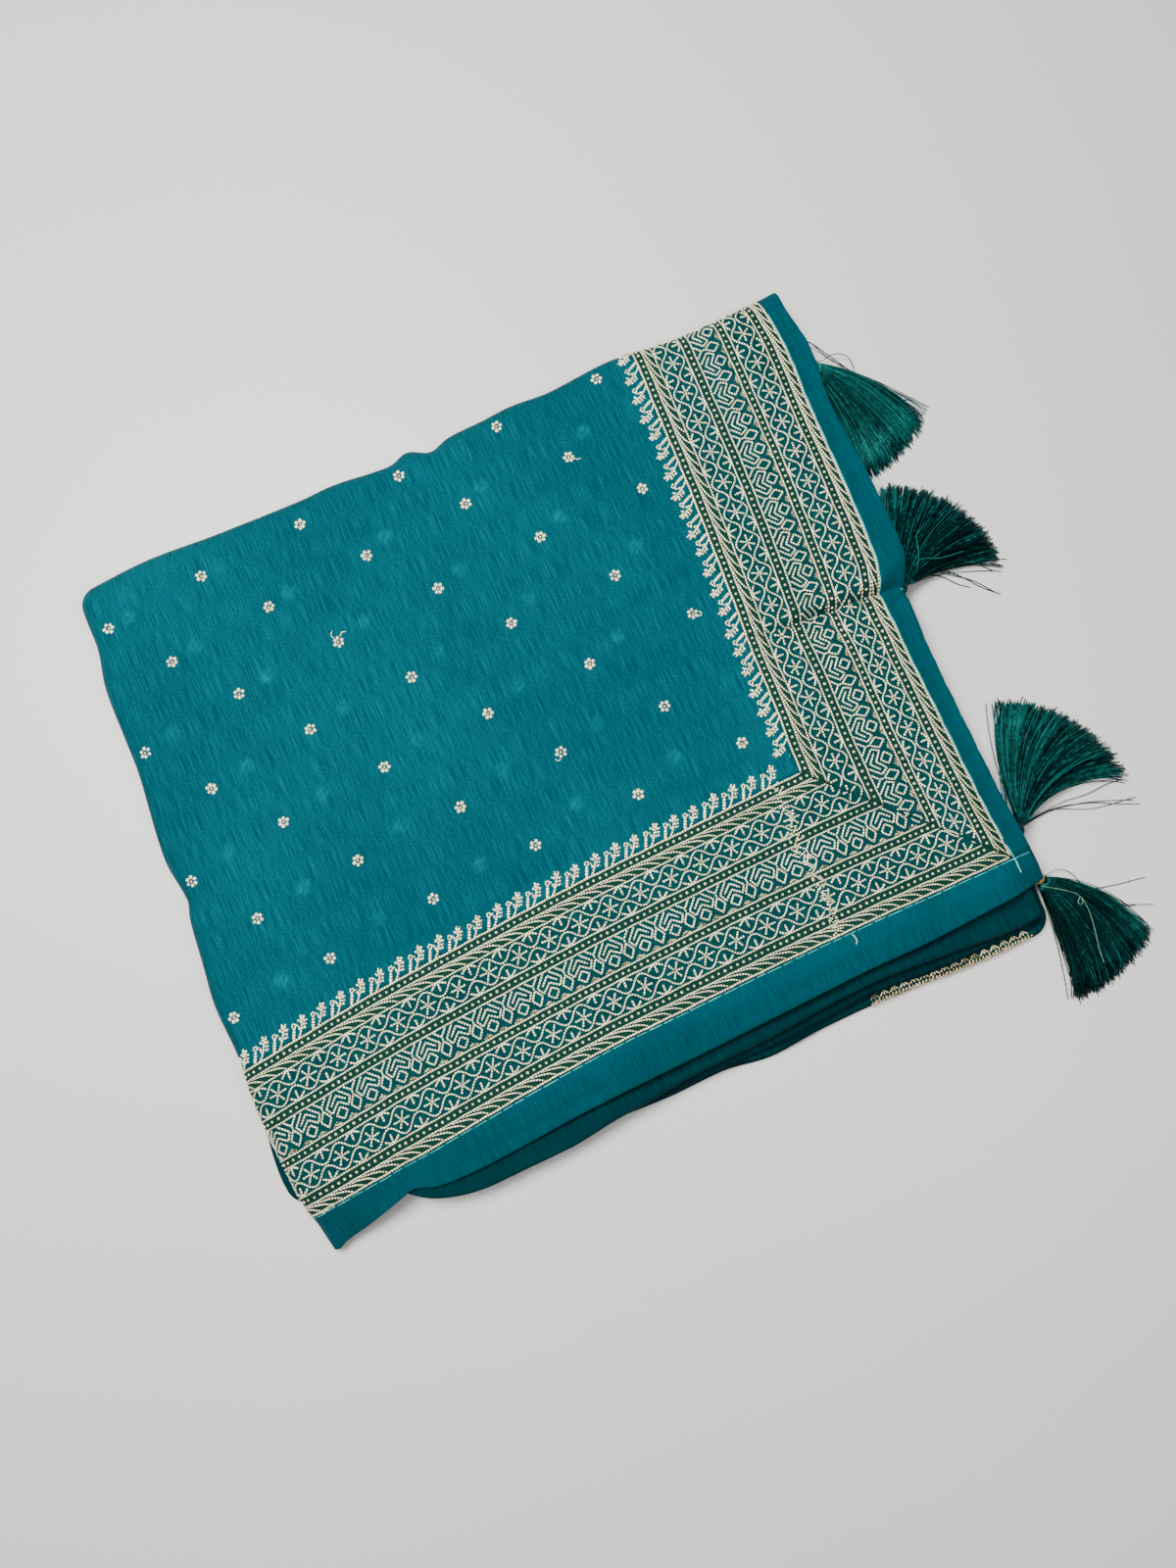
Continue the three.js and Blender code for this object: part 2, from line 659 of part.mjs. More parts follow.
// The skirt's strands fan out over the table, in rows one above the other.
function tasselGeometry(tassel, number) {
  const place = headPlace(tassel);
  const head = new THREE.LatheGeometry(HEAD.map(({ at, r }) => new THREE.Vector2(r, at)), HEAD_SIDES);
  let solid = manifoldOf(head.applyMatrix4(place));
  const skirt = new THREE.Vector3(0, SKIRT_AT, 0).applyMatrix4(place);
  const length = TASSEL_LENGTH * tassel.size - HEAD[HEAD.length - 1].at;
  const middle = rad(tassel.heading);
  const side = new THREE.Vector3(-Math.sin(middle), Math.cos(middle), 0);
  for (let i = 0; i < STRANDS; i++) {
    const row = i % STRAND_ROWS;
    const column = Math.floor(i / STRAND_ROWS);
    const share = (column + (row - 1) / STRAND_ROWS) / (STRANDS / STRAND_ROWS - 1) - 0.5;
    const heading = middle + rad(tassel.spread * share + vary(i, number) * HEADING_VARY);
    const shorter = row === LONGEST_ROW ? 0 : ROW_SHORTER;
    const reach = length * (1 - shorter + LENGTH_VARY * vary(i, number + TASSELS.length));
    const from = skirt.clone().addScaledVector(side, share * SKIRT_WIDTH);
    from.z += (row - 1) * SKIRT_ROW_STEP;
    const points = STRAND_STATIONS.map(({ t }) => {
      const rest = FLOOR_ROW + row * (ROW_STEP - ROW_SETTLE * t * t);
      return new THREE.Vector3(
        from.x + Math.cos(heading) * reach * t,
        from.y + Math.sin(heading) * reach * t,
        lerp(rest, from.z, (1 - t) ** DROP_POWER),
      );
    });
    solid = solid.add(manifoldOf(strand(points)));
  }
  return geometryFrom(solid);
}

function wrapGeometry(tassel) {
  const ringOfWire = new THREE.TorusGeometry(WRAP_RING, WRAP_TUBE, WRAP_SIDES.tube, WRAP_SIDES.ring);
  ringOfWire.rotateX(Math.PI / 2).translate(0, WRAP_PLACE, 0);
  return ringOfWire.applyMatrix4(headPlace(tassel));
}

// ---- the part ----
const cloth = (color) => new THREE.MeshStandardMaterial({ color, roughness: 0.55, metalness: 0 });
const silk = new THREE.MeshStandardMaterial({ color: 0x07403f, roughness: 0.4, metalness: 0 });
const zari = new THREE.MeshStandardMaterial({ color: 0xcdb98a, roughness: 0.4, metalness: 0.3 });
const gold = new THREE.MeshStandardMaterial({ color: 0xc08a3a, roughness: 0.3, metalness: 0.9 });

const part = new THREE.Group();
function piece(name, geometry, material) {
  const mesh = new THREE.Mesh(geometry, material);
  mesh.name = name;
  part.add(mesh);
}

piece(
  "field_panel",
  clothWall({
    left: leftStart,
    right: palluLine("inner", -HALF_SEAM),
    near: longLine("inner", HALF_SEAM),
    far: backStart,
    columns: 18,
    rows: 14,
    rollLeft: true,
    rollBack: true,
  }),
  cloth(0x016f7d),
);
piece(
  "long_border",
  clothWall({
    left: leftStart,
    right: mitreLeft,
    near: longLine("outer", HALF_SEAM),
    far: longLine("inner", -HALF_SEAM),
    columns: 24,
    rows: 5,
    rollLeft: true,
  }),
  zari,
);
piece(
  "pallu_border",
  clothWall({
    left: palluLine("inner", HALF_SEAM),
    right: palluLine("outer", -HALF_SEAM),
    near: mitreNear,
    far: backStart,
    columns: 5,
    rows: 20,
    rollBack: true,
  }),
  zari,
);
piece(
  "long_hem",
  clothWall({
    left: leftStart,
    right: palluLine("edge"),
    near: hemEdge,
    far: longLine("outer", -HALF_SEAM),
    columns: 26,
    rows: 3,
    rollLeft: true,
  }),
  cloth(0x015865),
);
piece(
  "pallu_hem",
  clothWall({
    left: palluLine("outer", HALF_SEAM),
    right: palluLine("edge"),
    near: longLine("outer", HALF_SEAM),
    far: backStart,
    columns: 3,
    rows: 20,
    rollBack: true,
  }),
  cloth(0x015865),
);
piece("second_stretch", secondStretch(), cloth(0x02505d));
piece("inner_folds", innerFolds(), cloth(0x02505d));
piece("lowest_stretch", lowestStretch(), cloth(0x014650));
TASSELS.forEach((tassel, i) => piece(`tassel_${i + 1}`, tasselGeometry(tassel, i + 1), silk));
piece("neck_wrap", wrapGeometry(TASSELS[TASSELS.length - 1]), gold);

export default part;
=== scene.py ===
"""Dresses the folded sari: cloth shells, thread embroidery, small flowers, tassels and loose threads.

Tables are in millimetres in the part's own frame: +X runs along the selvedge towards the pallu's edge, +Y
from the selvedge to the fold at the back, and +Z up. Meshes are made in metres.
"""

import logging
import math
from collections.abc import Callable, Sequence
from dataclasses import dataclass, field
from enum import Enum

import bpy
import numpy as np
from mathutils import Matrix, Vector


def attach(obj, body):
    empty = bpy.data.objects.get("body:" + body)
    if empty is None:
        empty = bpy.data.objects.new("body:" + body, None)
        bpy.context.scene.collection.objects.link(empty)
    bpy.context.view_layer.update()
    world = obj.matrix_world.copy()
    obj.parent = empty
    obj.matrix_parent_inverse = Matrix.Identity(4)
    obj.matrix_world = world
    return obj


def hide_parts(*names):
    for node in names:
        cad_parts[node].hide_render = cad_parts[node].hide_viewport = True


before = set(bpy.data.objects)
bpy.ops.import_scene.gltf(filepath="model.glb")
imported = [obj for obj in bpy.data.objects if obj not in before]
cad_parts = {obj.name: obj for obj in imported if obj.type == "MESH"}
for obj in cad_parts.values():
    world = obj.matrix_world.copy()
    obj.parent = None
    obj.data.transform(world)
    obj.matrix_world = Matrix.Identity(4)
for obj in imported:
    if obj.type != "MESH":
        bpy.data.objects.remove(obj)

log = logging.getLogger("sari")
Array = np.ndarray
MM = 0.001
ROOT = "root"
UP = (0.0, 0.0, 1.0)
STITCH_LENGTH = 1.15  # millimetres along a thread
MIX_SHARE, MIX_FIRST, MIX_SECOND = 0, 6, 7  # the sockets of a mix of two colours


# ---- tables and curves ----


@dataclass(frozen=True)
class SmoothTable:
    """A smooth curve through the rows of a table, which are in order of their first column."""

    rows: tuple[tuple[float, ...], ...]

    def at(self, where: Array | float, column: int = 1) -> Array:
        """Reads one column of the table between its rows.

        Args:
            where: places along the first column.
            column: the column that is read.

        Returns:
            The column's values there.
        """
        table = np.array(self.rows, float)
        keys, values = table[:, 0], table[:, column]
        last = len(keys) - 1
        x = np.clip(where, keys[0], keys[last])
        i = np.clip(np.searchsorted(keys, x) - 1, 0, last - 1)
        before, after = np.maximum(np.arange(last + 1) - 1, 0), np.minimum(np.arange(last + 1) + 1, last)
        slope = (values[after] - values[before]) / (keys[after] - keys[before])
        step = keys[i + 1] - keys[i]
        t = (x - keys[i]) / step
        ease = t * t * (3 - 2 * t)
        bend = step * t * (1 - t) * ((1 - t) * slope[i] - t * slope[i + 1])
        return values[i] + (values[i + 1] - values[i]) * ease + bend


# y along the pallu; x of the border's inner seam, its middle line, its outer seam, and the hem's free edge
PALLU_LINES = SmoothTable(
    (
        (-125, 86.6, 128.8, 155.2, 165.4),
        (-104, 86.8, 128.7, 154.5, 164.8),
        (-80, 87.4, 128.6, 153, 163.4),
        (-37, 88.7, 128.2, 152.3, 162.6),
        (-8, 90.5, 128.9, 151.8, 162.6),
        (14, 91.3, 128.8, 152.4, 164.8),
        (32, 92.8, 131.3, 157.5, 171.4),
        (75, 95.7, 134.7, 160.1, 171.8),
        (100, 97, 135.9, 160.6, 170.4),
        (132, 98.3, 136.8, 162.7, 173.4),
        (148, 99.1, 137, 161.4, 170.6),
        (162, 99.6, 137.2, 159.6, 170),
    )
)
# x along the selvedge; y of the border's inner seam, its middle line and its outer seam
LONG_LINES = SmoothTable(
    (
        (-176, -58.4, -97.6, -123.6),
        (-142, -53.9, -93.4, -120),
        (-107, -49.7, -89.1, -116.6),
        (-59, -45.8, -85.1, -111.7),
        (-23, -43.2, -82.6, -109.1),
        (4, -41.9, -81.3, -108.3),
        (37, -40.7, -79.9, -107.2),
        (88.6, -38.5, -79, -106.4),
        (111, -38.2, -79.1, -106.5),
        (154.6, -38, -79.2, -106.5),
        (176, -38, -79.2, -106.5),
    )
)
INNER, MIDDLE, OUTER, EDGE = 1, 2, 3, 4  # columns of the two tables
INNER_CORNER = (88.6, -38.5)
OUTER_CORNER = (154.6, -106.5)
MITRE_RUN = (OUTER_CORNER[0] - INNER_CORNER[0]) / (OUTER_CORNER[1] - INNER_CORNER[1])

HALF_LENGTH = 166.8  # origin to the left fold
BACK_LINE = 155.5  # origin to the back fold
LEFT_FOLD = SmoothTable(
    (
        (-140, 0), (-115, 1.5), (-93, 3), (-73, 4), (-50, 2.8), (-28, 3.8), (-13, 2.2), (9, -0.3),
        (16, -2.2), (36, 0), (75, -3.6), (92, -3.7), (113, -4.2), (129, -7.3), (142, -7.6), (158, -8),
    )
)  # y, and how far the fold lies beyond HALF_LENGTH
BACK_FOLD = SmoothTable(
    (
        (-160, -0.8), (-127, 1.7), (-95, 0.2), (-56, -0.8), (-40, -0.3), (-22, -2), (-14, -2.2),
        (-6, 0.2), (3, -3.6), (12, -1), (30, 0), (43, 1), (60, 0), (90, 2.2), (120, -0.4), (150, 0.4),
        (172, 3.4),
    )
)  # x, and how far the fold lies beyond BACK_LINE
HEM_EDGE = SmoothTable(
    (
        (-172, -127), (-167, -139.5), (-160, -138), (-145, -134.4), (-130, -130), (-124, -128.8),
        (-116, -131.6), (-96, -132.4), (-47, -128.8), (14, -126.5), (82, -123.7), (109, -123.5),
        (142, -121.6), (170, -119.8),
    )
)  # x, and y of the long hem's free edge


@dataclass(frozen=True)
class Crease:
    """A soft ridge, or a trough where high is negative: its centre, direction, half sizes and height."""

    x: float
    y: float
    turn: float
    long: float
    wide: float
    high: float

    def height(self, x: Array, y: Array) -> Array:
        """How much it lifts the cloth at a place.

        Args:
            x: places along the selvedge.
            y: places across it.

        Returns:
            The lift in millimetres, less than 0 in a trough.
        """
        cos, sin = math.cos(math.radians(self.turn)), math.sin(math.radians(self.turn))
        s = ((x - self.x) * cos + (y - self.y) * sin) / self.long
        t = ((y - self.y) * cos - (x - self.x) * sin) / self.wide
        return self.high * np.exp(-(s**4) - t * t)


MAIN_CREASES = tuple(
    Crease(*row)
    for row in (
        (148, 15, 2, 40, 6, -2.2), (150, 27, 4, 34, 6, 1), (146, 1, -2, 30, 6, 0.8),
        (10, 143, -48, 22, 4, -0.9), (15, -33, 4, 90, 6, -0.8), (-124, -116, 84, 20, 6, -1.6),
        (78, 60, 86, 70, 8, -0.7), (-120, 60, 72, 80, 16, -0.7), (-30, 100, 12, 90, 12, 0.7),
    )
)
FINE_CREASES = tuple(
    Crease(*row)
    for row in (
        # the open field: long shallow waves, and short wrinkles near the pallu
        (-140, 5, 82, 46, 5, 0.32), (-112, -12, 86, 34, 4, -0.27), (-96, 62, 80, 52, 6, 0.35),
        (-74, 20, 88, 60, 5, -0.3), (-52, -8, 84, 40, 4, 0.3), (-34, 60, 90, 66, 6, -0.35),
        (-8, 14, 87, 48, 5, 0.3), (20, 84, 92, 50, 5, -0.3), (38, 12, 88, 44, 5, 0.27),
        (60, 104, 84, 36, 5, 0.3), (-128, 118, 78, 24, 5, -0.32), (-60, 126, 20, 30, 4, 0.3),
        (22, 110, 4, 26, 2.4, -0.68), (66, 54, 10, 18, 1.8, -0.81), (58, 21, -3, 30, 1.8, -0.74),
        (74, 47, 24, 12, 1.6, 0.61), (8, 6, 6, 16, 1.8, -0.54), (48, 32, 4, 20, 2.2, 0.54),
        (-118, 44, 2, 16, 1.6, -0.54), (-60, 20, -4, 14, 1.6, -0.47), (-44, -14, 86, 9, 1.4, -0.54),
        (84, 8, 14, 10, 2, 0.68), (82, 24, -14, 11, 2, -0.74), (82, 84, 12, 12, 2, -0.61),
        (56, 58, 12, 12, 1.3, 0.46), (70, 64, 6, 10, 1.4, -0.54), (34, 44, -8, 16, 1.8, -0.47),
        (60, -4, 8, 18, 2.0, -0.54), (78, -10, -12, 10, 1.6, 0.61), (-10, 70, 4, 18, 1.8, -0.41),
        # puckers where the dense stitching draws the field in
        (30, -31, 2, 14, 1.8, 0.42), (44, -27, -6, 11, 1.5, -0.42), (57, -31, 4, 12, 1.6, 0.46),
        (66, -26, 8, 9, 1.4, -0.4), (75, -31, -2, 9, 1.5, 0.4), (5, -34, 4, 12, 1.6, 0.3),
        (-20, -35, -3, 14, 1.6, -0.3), (-50, -36, 3, 12, 1.6, 0.26), (-84, -38, 6, 13, 1.7, -0.26),
        (-112, -42, 5, 12, 1.6, 0.26), (82, -24, 40, 8, 1.6, -0.36), (20, -26, 6, 16, 1.6, -0.3),
        # the border, gently drawn up between its dense rows
        (-60, -79, 4, 110, 2.4, -0.24), (40, -77, 0, 90, 2.2, -0.22), (-20, -56, 4, 120, 2.6, 0.2),
        (120, 60, 86, 110, 2.4, 0.22), (134, 60, 86, 100, 2.2, -0.26), (112, -60, -46, 44, 2, 0.24),
        (-135, -88, 84, 24, 5, -0.34), (-90, -92, 84, 26, 6, 0.3), (-30, -94, 88, 24, 6, -0.3),
        (26, -88, 90, 26, 5, 0.26), (76, -76, 90, 34, 1.5, 0.3), (128, 92, 2, 30, 4, 0.3),
        (124, 46, -3, 30, 4, -0.34), (122, -16, 2, 30, 5, -0.3), (130, 122, -4, 30, 4, -0.3),
        # the sharp fold line across the pallu
        (134, 17.8, -3, 34, 1.6, -2.8), (132, 22.6, -2, 32, 2.4, 1.1), (136, 12.8, -4, 28, 2.6, 1.0),
        (163, 12, 16, 9, 2.0, -1.8), (160, 24, 20, 10, 2.4, 0.8), (112, 30, 8, 20, 2.4, -0.8),
        (158, -46, 92, 58, 5.5, -1.5), (149, -46, 92, 60, 4, 0.4), (166, 96, 90, 50, 5, -1.0),
        (118, 10, -10, 16, 1.8, -0.6), (140, 4, 6, 18, 2.2, -0.5), (104, 22, 18, 10, 1.8, -0.6),
        # the long hem's ripples, deeper towards its free edge
        (-152, -128, 100, 10, 3, 0.7), (-140, -125, 76, 9, 3, -0.6), (-110, -124, 96, 10, 4, 0.5),
        (-92, -124, 84, 9, 3.4, -0.42), (-72, -121, 92, 9, 4, 0.36), (-48, -119, 80, 9, 4, -0.36),
        (-20, -119, 96, 9, 5, 0.34), (6, -117, 88, 8, 4, -0.36), (34, -117, 84, 8, 5, 0.34),
        (62, -115, 96, 8, 4, -0.34), (92, -115, 88, 8, 4, 0.4), (118, -114, 82, 8, 4, -0.42),
        (140, -113, 98, 8, 4, 0.4), (-64, -125, 4, 40, 1.8, -0.4), (60, -119, 3, 46, 1.8, -0.3),
        # short cross wrinkles of the pallu hem
        (158, -92, 8, 7, 2, 0.68), (158, -78, -6, 7, 1.5, -0.68), (158, -70, 4, 7, 1.4, 0.65),
        (158, -61, 10, 7, 1.3, -0.75), (158, -52, -4, 7, 1.3, 0.68), (157, -44, 6, 7, 1.2, -0.71),
        (157, -36, 0, 7, 1.3, 0.68), (157, -29, -6, 7, 1.2, -0.78), (157, -20, 6, 7, 1.8, 0.68),
        (158, -8, -8, 7, 1.6, -0.61), (165, 44, 6, 7, 2.4, 0.85), (165, 58, -6, 7, 2, -0.85),
        (166, 70, 4, 7, 2, 0.75), (165, 84, 8, 7, 2.2, -0.85), (165, 98, -6, 7, 2, 0.75),
        (166, 110, 6, 7, 2, -0.85), (167, 122, -4, 7, 2, 0.78), (167, 136, 8, 7, 2.4, -0.78),
    )
)


def smoothstep(x: Array | float, start: float, end: float) -> Array:
    """Rises from 0 at start to 1 at end, with soft ends."""
    t = np.clip((np.asarray(x, float) - start) / (end - start), 0, 1)
    return t * t * (3 - 2 * t)


def lerp(a: Array | float, b: Array | float, t: Array | float) -> Array | float:
    """The value that lies t of the way from a to b."""
    return a + (b - a) * t


def unit(vectors: Array) -> Array:
    """The vectors at length 1."""
    return vectors / np.maximum(np.linalg.norm(vectors, axis=-1, keepdims=True), 1e-12)


def lengths_along(path: Array) -> Array:
    """The length from a path's first point to each of its points."""
    return np.concatenate([[0], np.cumsum(np.linalg.norm(np.diff(path, axis=0), axis=1))])


def vary(i: Array | float, series: float) -> Array:
    """A repeatable number from -1 to 1 for the i-th of something, in its own series."""
    s = np.sin(np.asarray(i, float) * 12.9898 + series * 78.233) * 43758.5453
    return (s - np.floor(s)) * 2 - 1


# ---- the top cloth's form ----


@dataclass(frozen=True)
class TopCloth:
    """The middle surface of the cloth that lies on top and rolls over the left and back folds."""

    edge_height: float = 22.6
    crown: float = 2.4
    crown_reach: tuple[float, float] = (172, 158)
    fold_radius: float = 8.6
    fold_turn: float = 150
    flap_start: float = 112
    flap_slopes: tuple[float, float] = (0.45, 0.72)
    tip_span: tuple[float, float] = (128, 160)
    side_starts: tuple[float, float] = (148, 146)
    side_slopes: tuple[float, float] = (0.55, 0.34)
    side_blend: float = 30
    fall_ease: float = 6
    roll_floor: float = 6.1
    table_floor: float = 1.2
    past_layers: tuple[float, float] = (119.5, 128)
    outside: float = 0.6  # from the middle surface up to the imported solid's outer face
    most_turn: float = 172
    nudge: float = 0.35  # half the span that a normal is read over
    inside: float = 8  # how far inside a fold its height is read
    settle_rounds: int = 4
    swell: float = 0.10  # the two faint uneven waves over the whole cloth
    ripple: float = 0.05

    def left_fold(self, y: Array) -> Array:
        """The x of the left fold's outermost line."""
        return -HALF_LENGTH - LEFT_FOLD.at(y)

    def back_fold(self, x: Array) -> Array:
        """The y of the back fold's outermost line."""
        return BACK_LINE + BACK_FOLD.at(x)

    def _fall(self, reach: Array, slope: Array | float) -> Array:
        """How far the cloth has fallen, reach millimetres beyond where its fall starts."""
        reach = np.maximum(reach, 0)
        return slope * reach * reach / (reach + self.fall_ease)

    def smooth_height(self, x: Array, y: Array) -> Array:
        """Height of the middle surface before its creases.

        Args:
            x: places along the selvedge.
            y: places across it.

        Returns:
            The heights in millimetres.
        """
        dome_x = np.clip(1 - (x / self.crown_reach[0]) ** 2, 0, 1)
        dome_y = np.clip(1 - (y / self.crown_reach[1]) ** 2, 0, 1)
        front = self._fall(-self.flap_start - y, lerp(*self.flap_slopes, smoothstep(-x, *self.tip_span)))
        back = smoothstep(y, 0, self.side_blend)
        side = self._fall(x - lerp(*self.side_starts, back), lerp(*self.side_slopes, back))
        return self.edge_height + self.crown * dome_x * dome_y - front - side

    def height(self, x: Array, y: Array, fine: bool = True) -> Array:
        """Height of the middle surface, with its main creases and, where fine, its small ones.

        Args:
            x: places along the selvedge.
            y: places across it.
            fine: whether the small creases count.

        Returns:
            The heights in millimetres.
        """
        z = self.smooth_height(x, y)
        for crease in MAIN_CREASES + (FINE_CREASES if fine else ()):
            z = z + crease.height(x, y)
        if fine:
            wander_x, wander_y = 1.7 * np.sin(y / 31), 0.6 * np.sin(x / 23)
            z = z + self.swell * np.sin(x / 7.3 + wander_x) * np.sin(y / 11.9 + wander_y)
            z = z + self.ripple * np.sin(x / 2.9 + y / 17) * np.sin(y / 5.3 - x / 29)
        return z

    def radius(self, x: Array, y: Array) -> Array:
        """Radius of the rolled folds at a place.

        Args:
            x: places along the selvedge.
            y: places across it.

        Returns:
            The radii in millimetres, smaller where the packet is low.
        """
        drop = 1 - math.cos(math.radians(self.fold_turn))
        floor = lerp(self.roll_floor, self.table_floor, smoothstep(-y, *self.past_layers))
        return np.minimum(self.fold_radius, (self.height(x, y, fine=False) - floor) / drop)

    def left_start(self, y: Array) -> Array:
        """The x at which the left fold begins to roll."""
        fold = self.left_fold(y)
        return fold + self.radius(fold + self.inside, y)

    def back_start(self, x: Array) -> Array:
        """The y at which the back fold begins to roll."""
        fold = self.back_fold(x)
        return fold - self.radius(x, fold - self.inside)

    def lay(self, p: Array, q: Array) -> Array:
        """Points of the middle surface.

        Args:
            p: places along the selvedge on the cloth laid flat, on past the left fold.
            q: places across the cloth laid flat, on past the back fold.

        Returns:
            The points in millimetres, one row each.
        """
        p, q = np.broadcast_arrays(np.asarray(p, float), np.asarray(q, float))
        x, y = p, q
        for _ in range(self.settle_rounds):  # the folds' starts depend on each other's place, and settle
            y = np.minimum(q, self.back_start(x))
            x = np.maximum(p, self.left_start(y))
        radius = self.radius(x, y)
        most = math.radians(self.most_turn)
        left, back = np.clip((x - p) / radius, 0, most), np.clip((q - y) / radius, 0, most)
        turn = np.maximum(left, back)
        a, b = left / np.maximum(turn, 1e-9), back / np.maximum(turn, 1e-9)
        out = radius * np.sin(turn)
        return np.stack(
            [
                x - out * a * np.sqrt(1 - b * b / 2),
                y + out * b * np.sqrt(1 - a * a / 2),
                self.height(x, y) - radius * (1 - np.cos(turn)),
            ],
            -1,
        )

    def frame_at(self, p: Array, q: Array) -> tuple[Array, Array]:
        """Points of the middle surface and its outward normals there.

        Args:
            p: flat places along the selvedge.
            q: flat places across it.

        Returns:
            The points and their normals.
        """
        e = self.nudge
        run = self.lay(p + e, q) - self.lay(p - e, q)
        rise = self.lay(p, q + e) - self.lay(p, q - e)
        return self.lay(p, q), unit(np.cross(run, rise))

    def outer(self, p: Array, q: Array, lift: float = 0.0) -> tuple[Array, Array]:
        """Points on the cloth's outer face, raised by lift, and the normals there."""
        at, normal = self.frame_at(p, q)
        return at + normal * (self.outside + lift), normal


TOP = TopCloth()


# ---- meshes ----


def deselect() -> None:
    """Leaves nothing selected, so that an operator acts on its own piece alone."""
    if bpy.context.object and bpy.context.object.mode != "OBJECT":
        bpy.ops.object.mode_set(mode="OBJECT")
    bpy.ops.object.select_all(action="DESELECT")


def choose(obj: bpy.types.Object) -> None:
    """Selects one object and makes it the active one.

    Args:
        obj: the object.
    """
    deselect()
    obj.select_set(True)
    bpy.context.view_layer.objects.active = obj


def apply_modifier(obj: bpy.types.Object, name: str) -> None:
    """Applies a modifier to the object's mesh."""
    choose(obj)
    bpy.ops.object.modifier_apply(modifier=name)


def mesh_object(
    name: str,
    points: Array,
    faces: Sequence[Sequence[int]],
    uv: Array | None = None,
    tone: Array | None = None,
    smooth: bool = True,
) -> bpy.types.Object:
    """Makes a mesh object from points in millimetres.

    Args:
        name: the piece's name.
        points: the corners, one row each.
        faces: the corners of each face, seen anticlockwise from outside.
        uv: a place on the flat cloth for each corner.
        tone: a shade for each corner, for its finish to read.
        smooth: whether the faces are shaded smoothly.

    Returns:
        The new object, at the origin.
    """
    mesh = bpy.data.meshes.new(name)
    mesh.from_pydata((np.asarray(points) * MM).tolist(), [], [list(map(int, f)) for f in faces])
    obj = bpy.data.objects.new(name, mesh)
    bpy.context.scene.collection.objects.link(obj)
    if uv is not None:
        corner = np.zeros(len(mesh.loops), np.int32)
        mesh.loops.foreach_get("vertex_index", corner)
        layer = mesh.uv_layers.new(name="flat")
        layer.data.foreach_set("uv", (np.asarray(uv, float)[corner] * MM).astype(np.float32).ravel())
    if tone is not None:
        shade = mesh.attributes.new("tone", "FLOAT", "POINT")
        shade.data.foreach_set("value", np.asarray(tone, np.float32))
    if smooth:
        mesh.polygons.foreach_set("use_smooth", np.ones(len(mesh.polygons), bool))
    mesh.update()
    return obj


def grid_faces(rows: int, columns: int, closed: bool = False) -> list[tuple[int, int, int, int]]:
    """The faces of a grid of corners, whose columns may close on themselves.

    Args:
        rows: how many rows of corners.
        columns: how many corners in a row.
        closed: whether each row closes on itself.

    Returns:
        The corners of each face.
    """
    across = columns if closed else columns - 1
    r, c = np.meshgrid(np.arange(rows - 1), np.arange(across), indexing="ij")
    a, b = r * columns + c, r * columns + (c + 1) % columns
    quads = np.stack([a, b, b + columns, a + columns], -1).reshape(-1, 4)
    return [tuple(f) for f in quads.tolist()]


def solidify(obj: bpy.types.Object, thickness: float) -> None:
    """Gives a sheet its thickness in millimetres, inwards from its outer face.

    Args:
        obj: the sheet.
        thickness: the wall in millimetres.
    """
    wall = obj.modifiers.new("wall", "SOLIDIFY")
    wall.thickness = thickness * MM
    wall.offset = -1
    wall.use_even_offset = False
    wall.use_rim = True
    apply_modifier(obj, wall.name)


@dataclass
class TubeBatch:
    """Collects round threads and joins them into one mesh."""

    sides: int = 4
    points: list[Array] = field(default_factory=list)
    faces: list[tuple[int, ...]] = field(default_factory=list)
    uv: list[Array] = field(default_factory=list)
    tones: list[Array] = field(default_factory=list)
    count: int = 0

    def add(self, path: Array, radius: Array | float, tone: Array | float) -> None:
        """Adds one thread.

        Args:
            path: its points.
            radius: its radius, or one for each point.
            tone: its shade, or one for each point.
        """
        n = len(path)
        radius = np.broadcast_to(np.asarray(radius, float), (n,))
        tangent = unit(np.gradient(path, axis=0))
        side = np.cross(tangent, UP)
        weak = np.linalg.norm(side, axis=1) < 1e-3
        side[weak] = (1.0, 0.0, 0.0)
        side = unit(side)
        over = np.cross(side, tangent)
        angle = np.arange(self.sides) / self.sides * 2 * math.pi + math.pi / self.sides
        ring = side[:, None] * np.cos(angle)[None, :, None] + over[:, None] * np.sin(angle)[None, :, None]
        self.points.append((path[:, None] + ring * radius[:, None, None]).reshape(-1, 3))
        k = self.sides
        base = self.count
        for a, b, c, d in grid_faces(n, k, closed=True):
            self.faces.append((base + d, base + c, base + b, base + a))
        self.faces.append(tuple(base + i for i in range(k)))
        self.faces.append(tuple(base + (n - 1) * k + i for i in reversed(range(k))))
        length = lengths_along(path)
        self.uv.append(np.stack([np.repeat(length, k), np.tile(np.arange(k) / k, n)], -1))
        self.tones.append(np.repeat(np.broadcast_to(np.asarray(tone, float), (n,)), k))
        self.count += n * k

    def finish(self, name: str) -> bpy.types.Object:
        """Makes the joined mesh.

        Args:
            name: the piece's name.

        Returns:
            The piece.
        """
        return mesh_object(
            name,
            np.concatenate(self.points),
            self.faces,
            np.concatenate(self.uv),
            np.concatenate(self.tones),
        )


# ---- finishes ----


def colour(red: int, green: int, blue: int) -> tuple[float, float, float, float]:
    """A display colour from 0 to 255 as the linear one that a shader takes.

    Args:
        red: from 0 to 255.
        green: from 0 to 255.
        blue: from 0 to 255.

    Returns:
        Red, green, blue and a full alpha.
    """
    channels = [c / 255 for c in (red, green, blue)]
    linear = [c / 12.92 if c <= 0.04045 else ((c + 0.055) / 1.055) ** 2.4 for c in channels]
    return (*linear, 1.0)


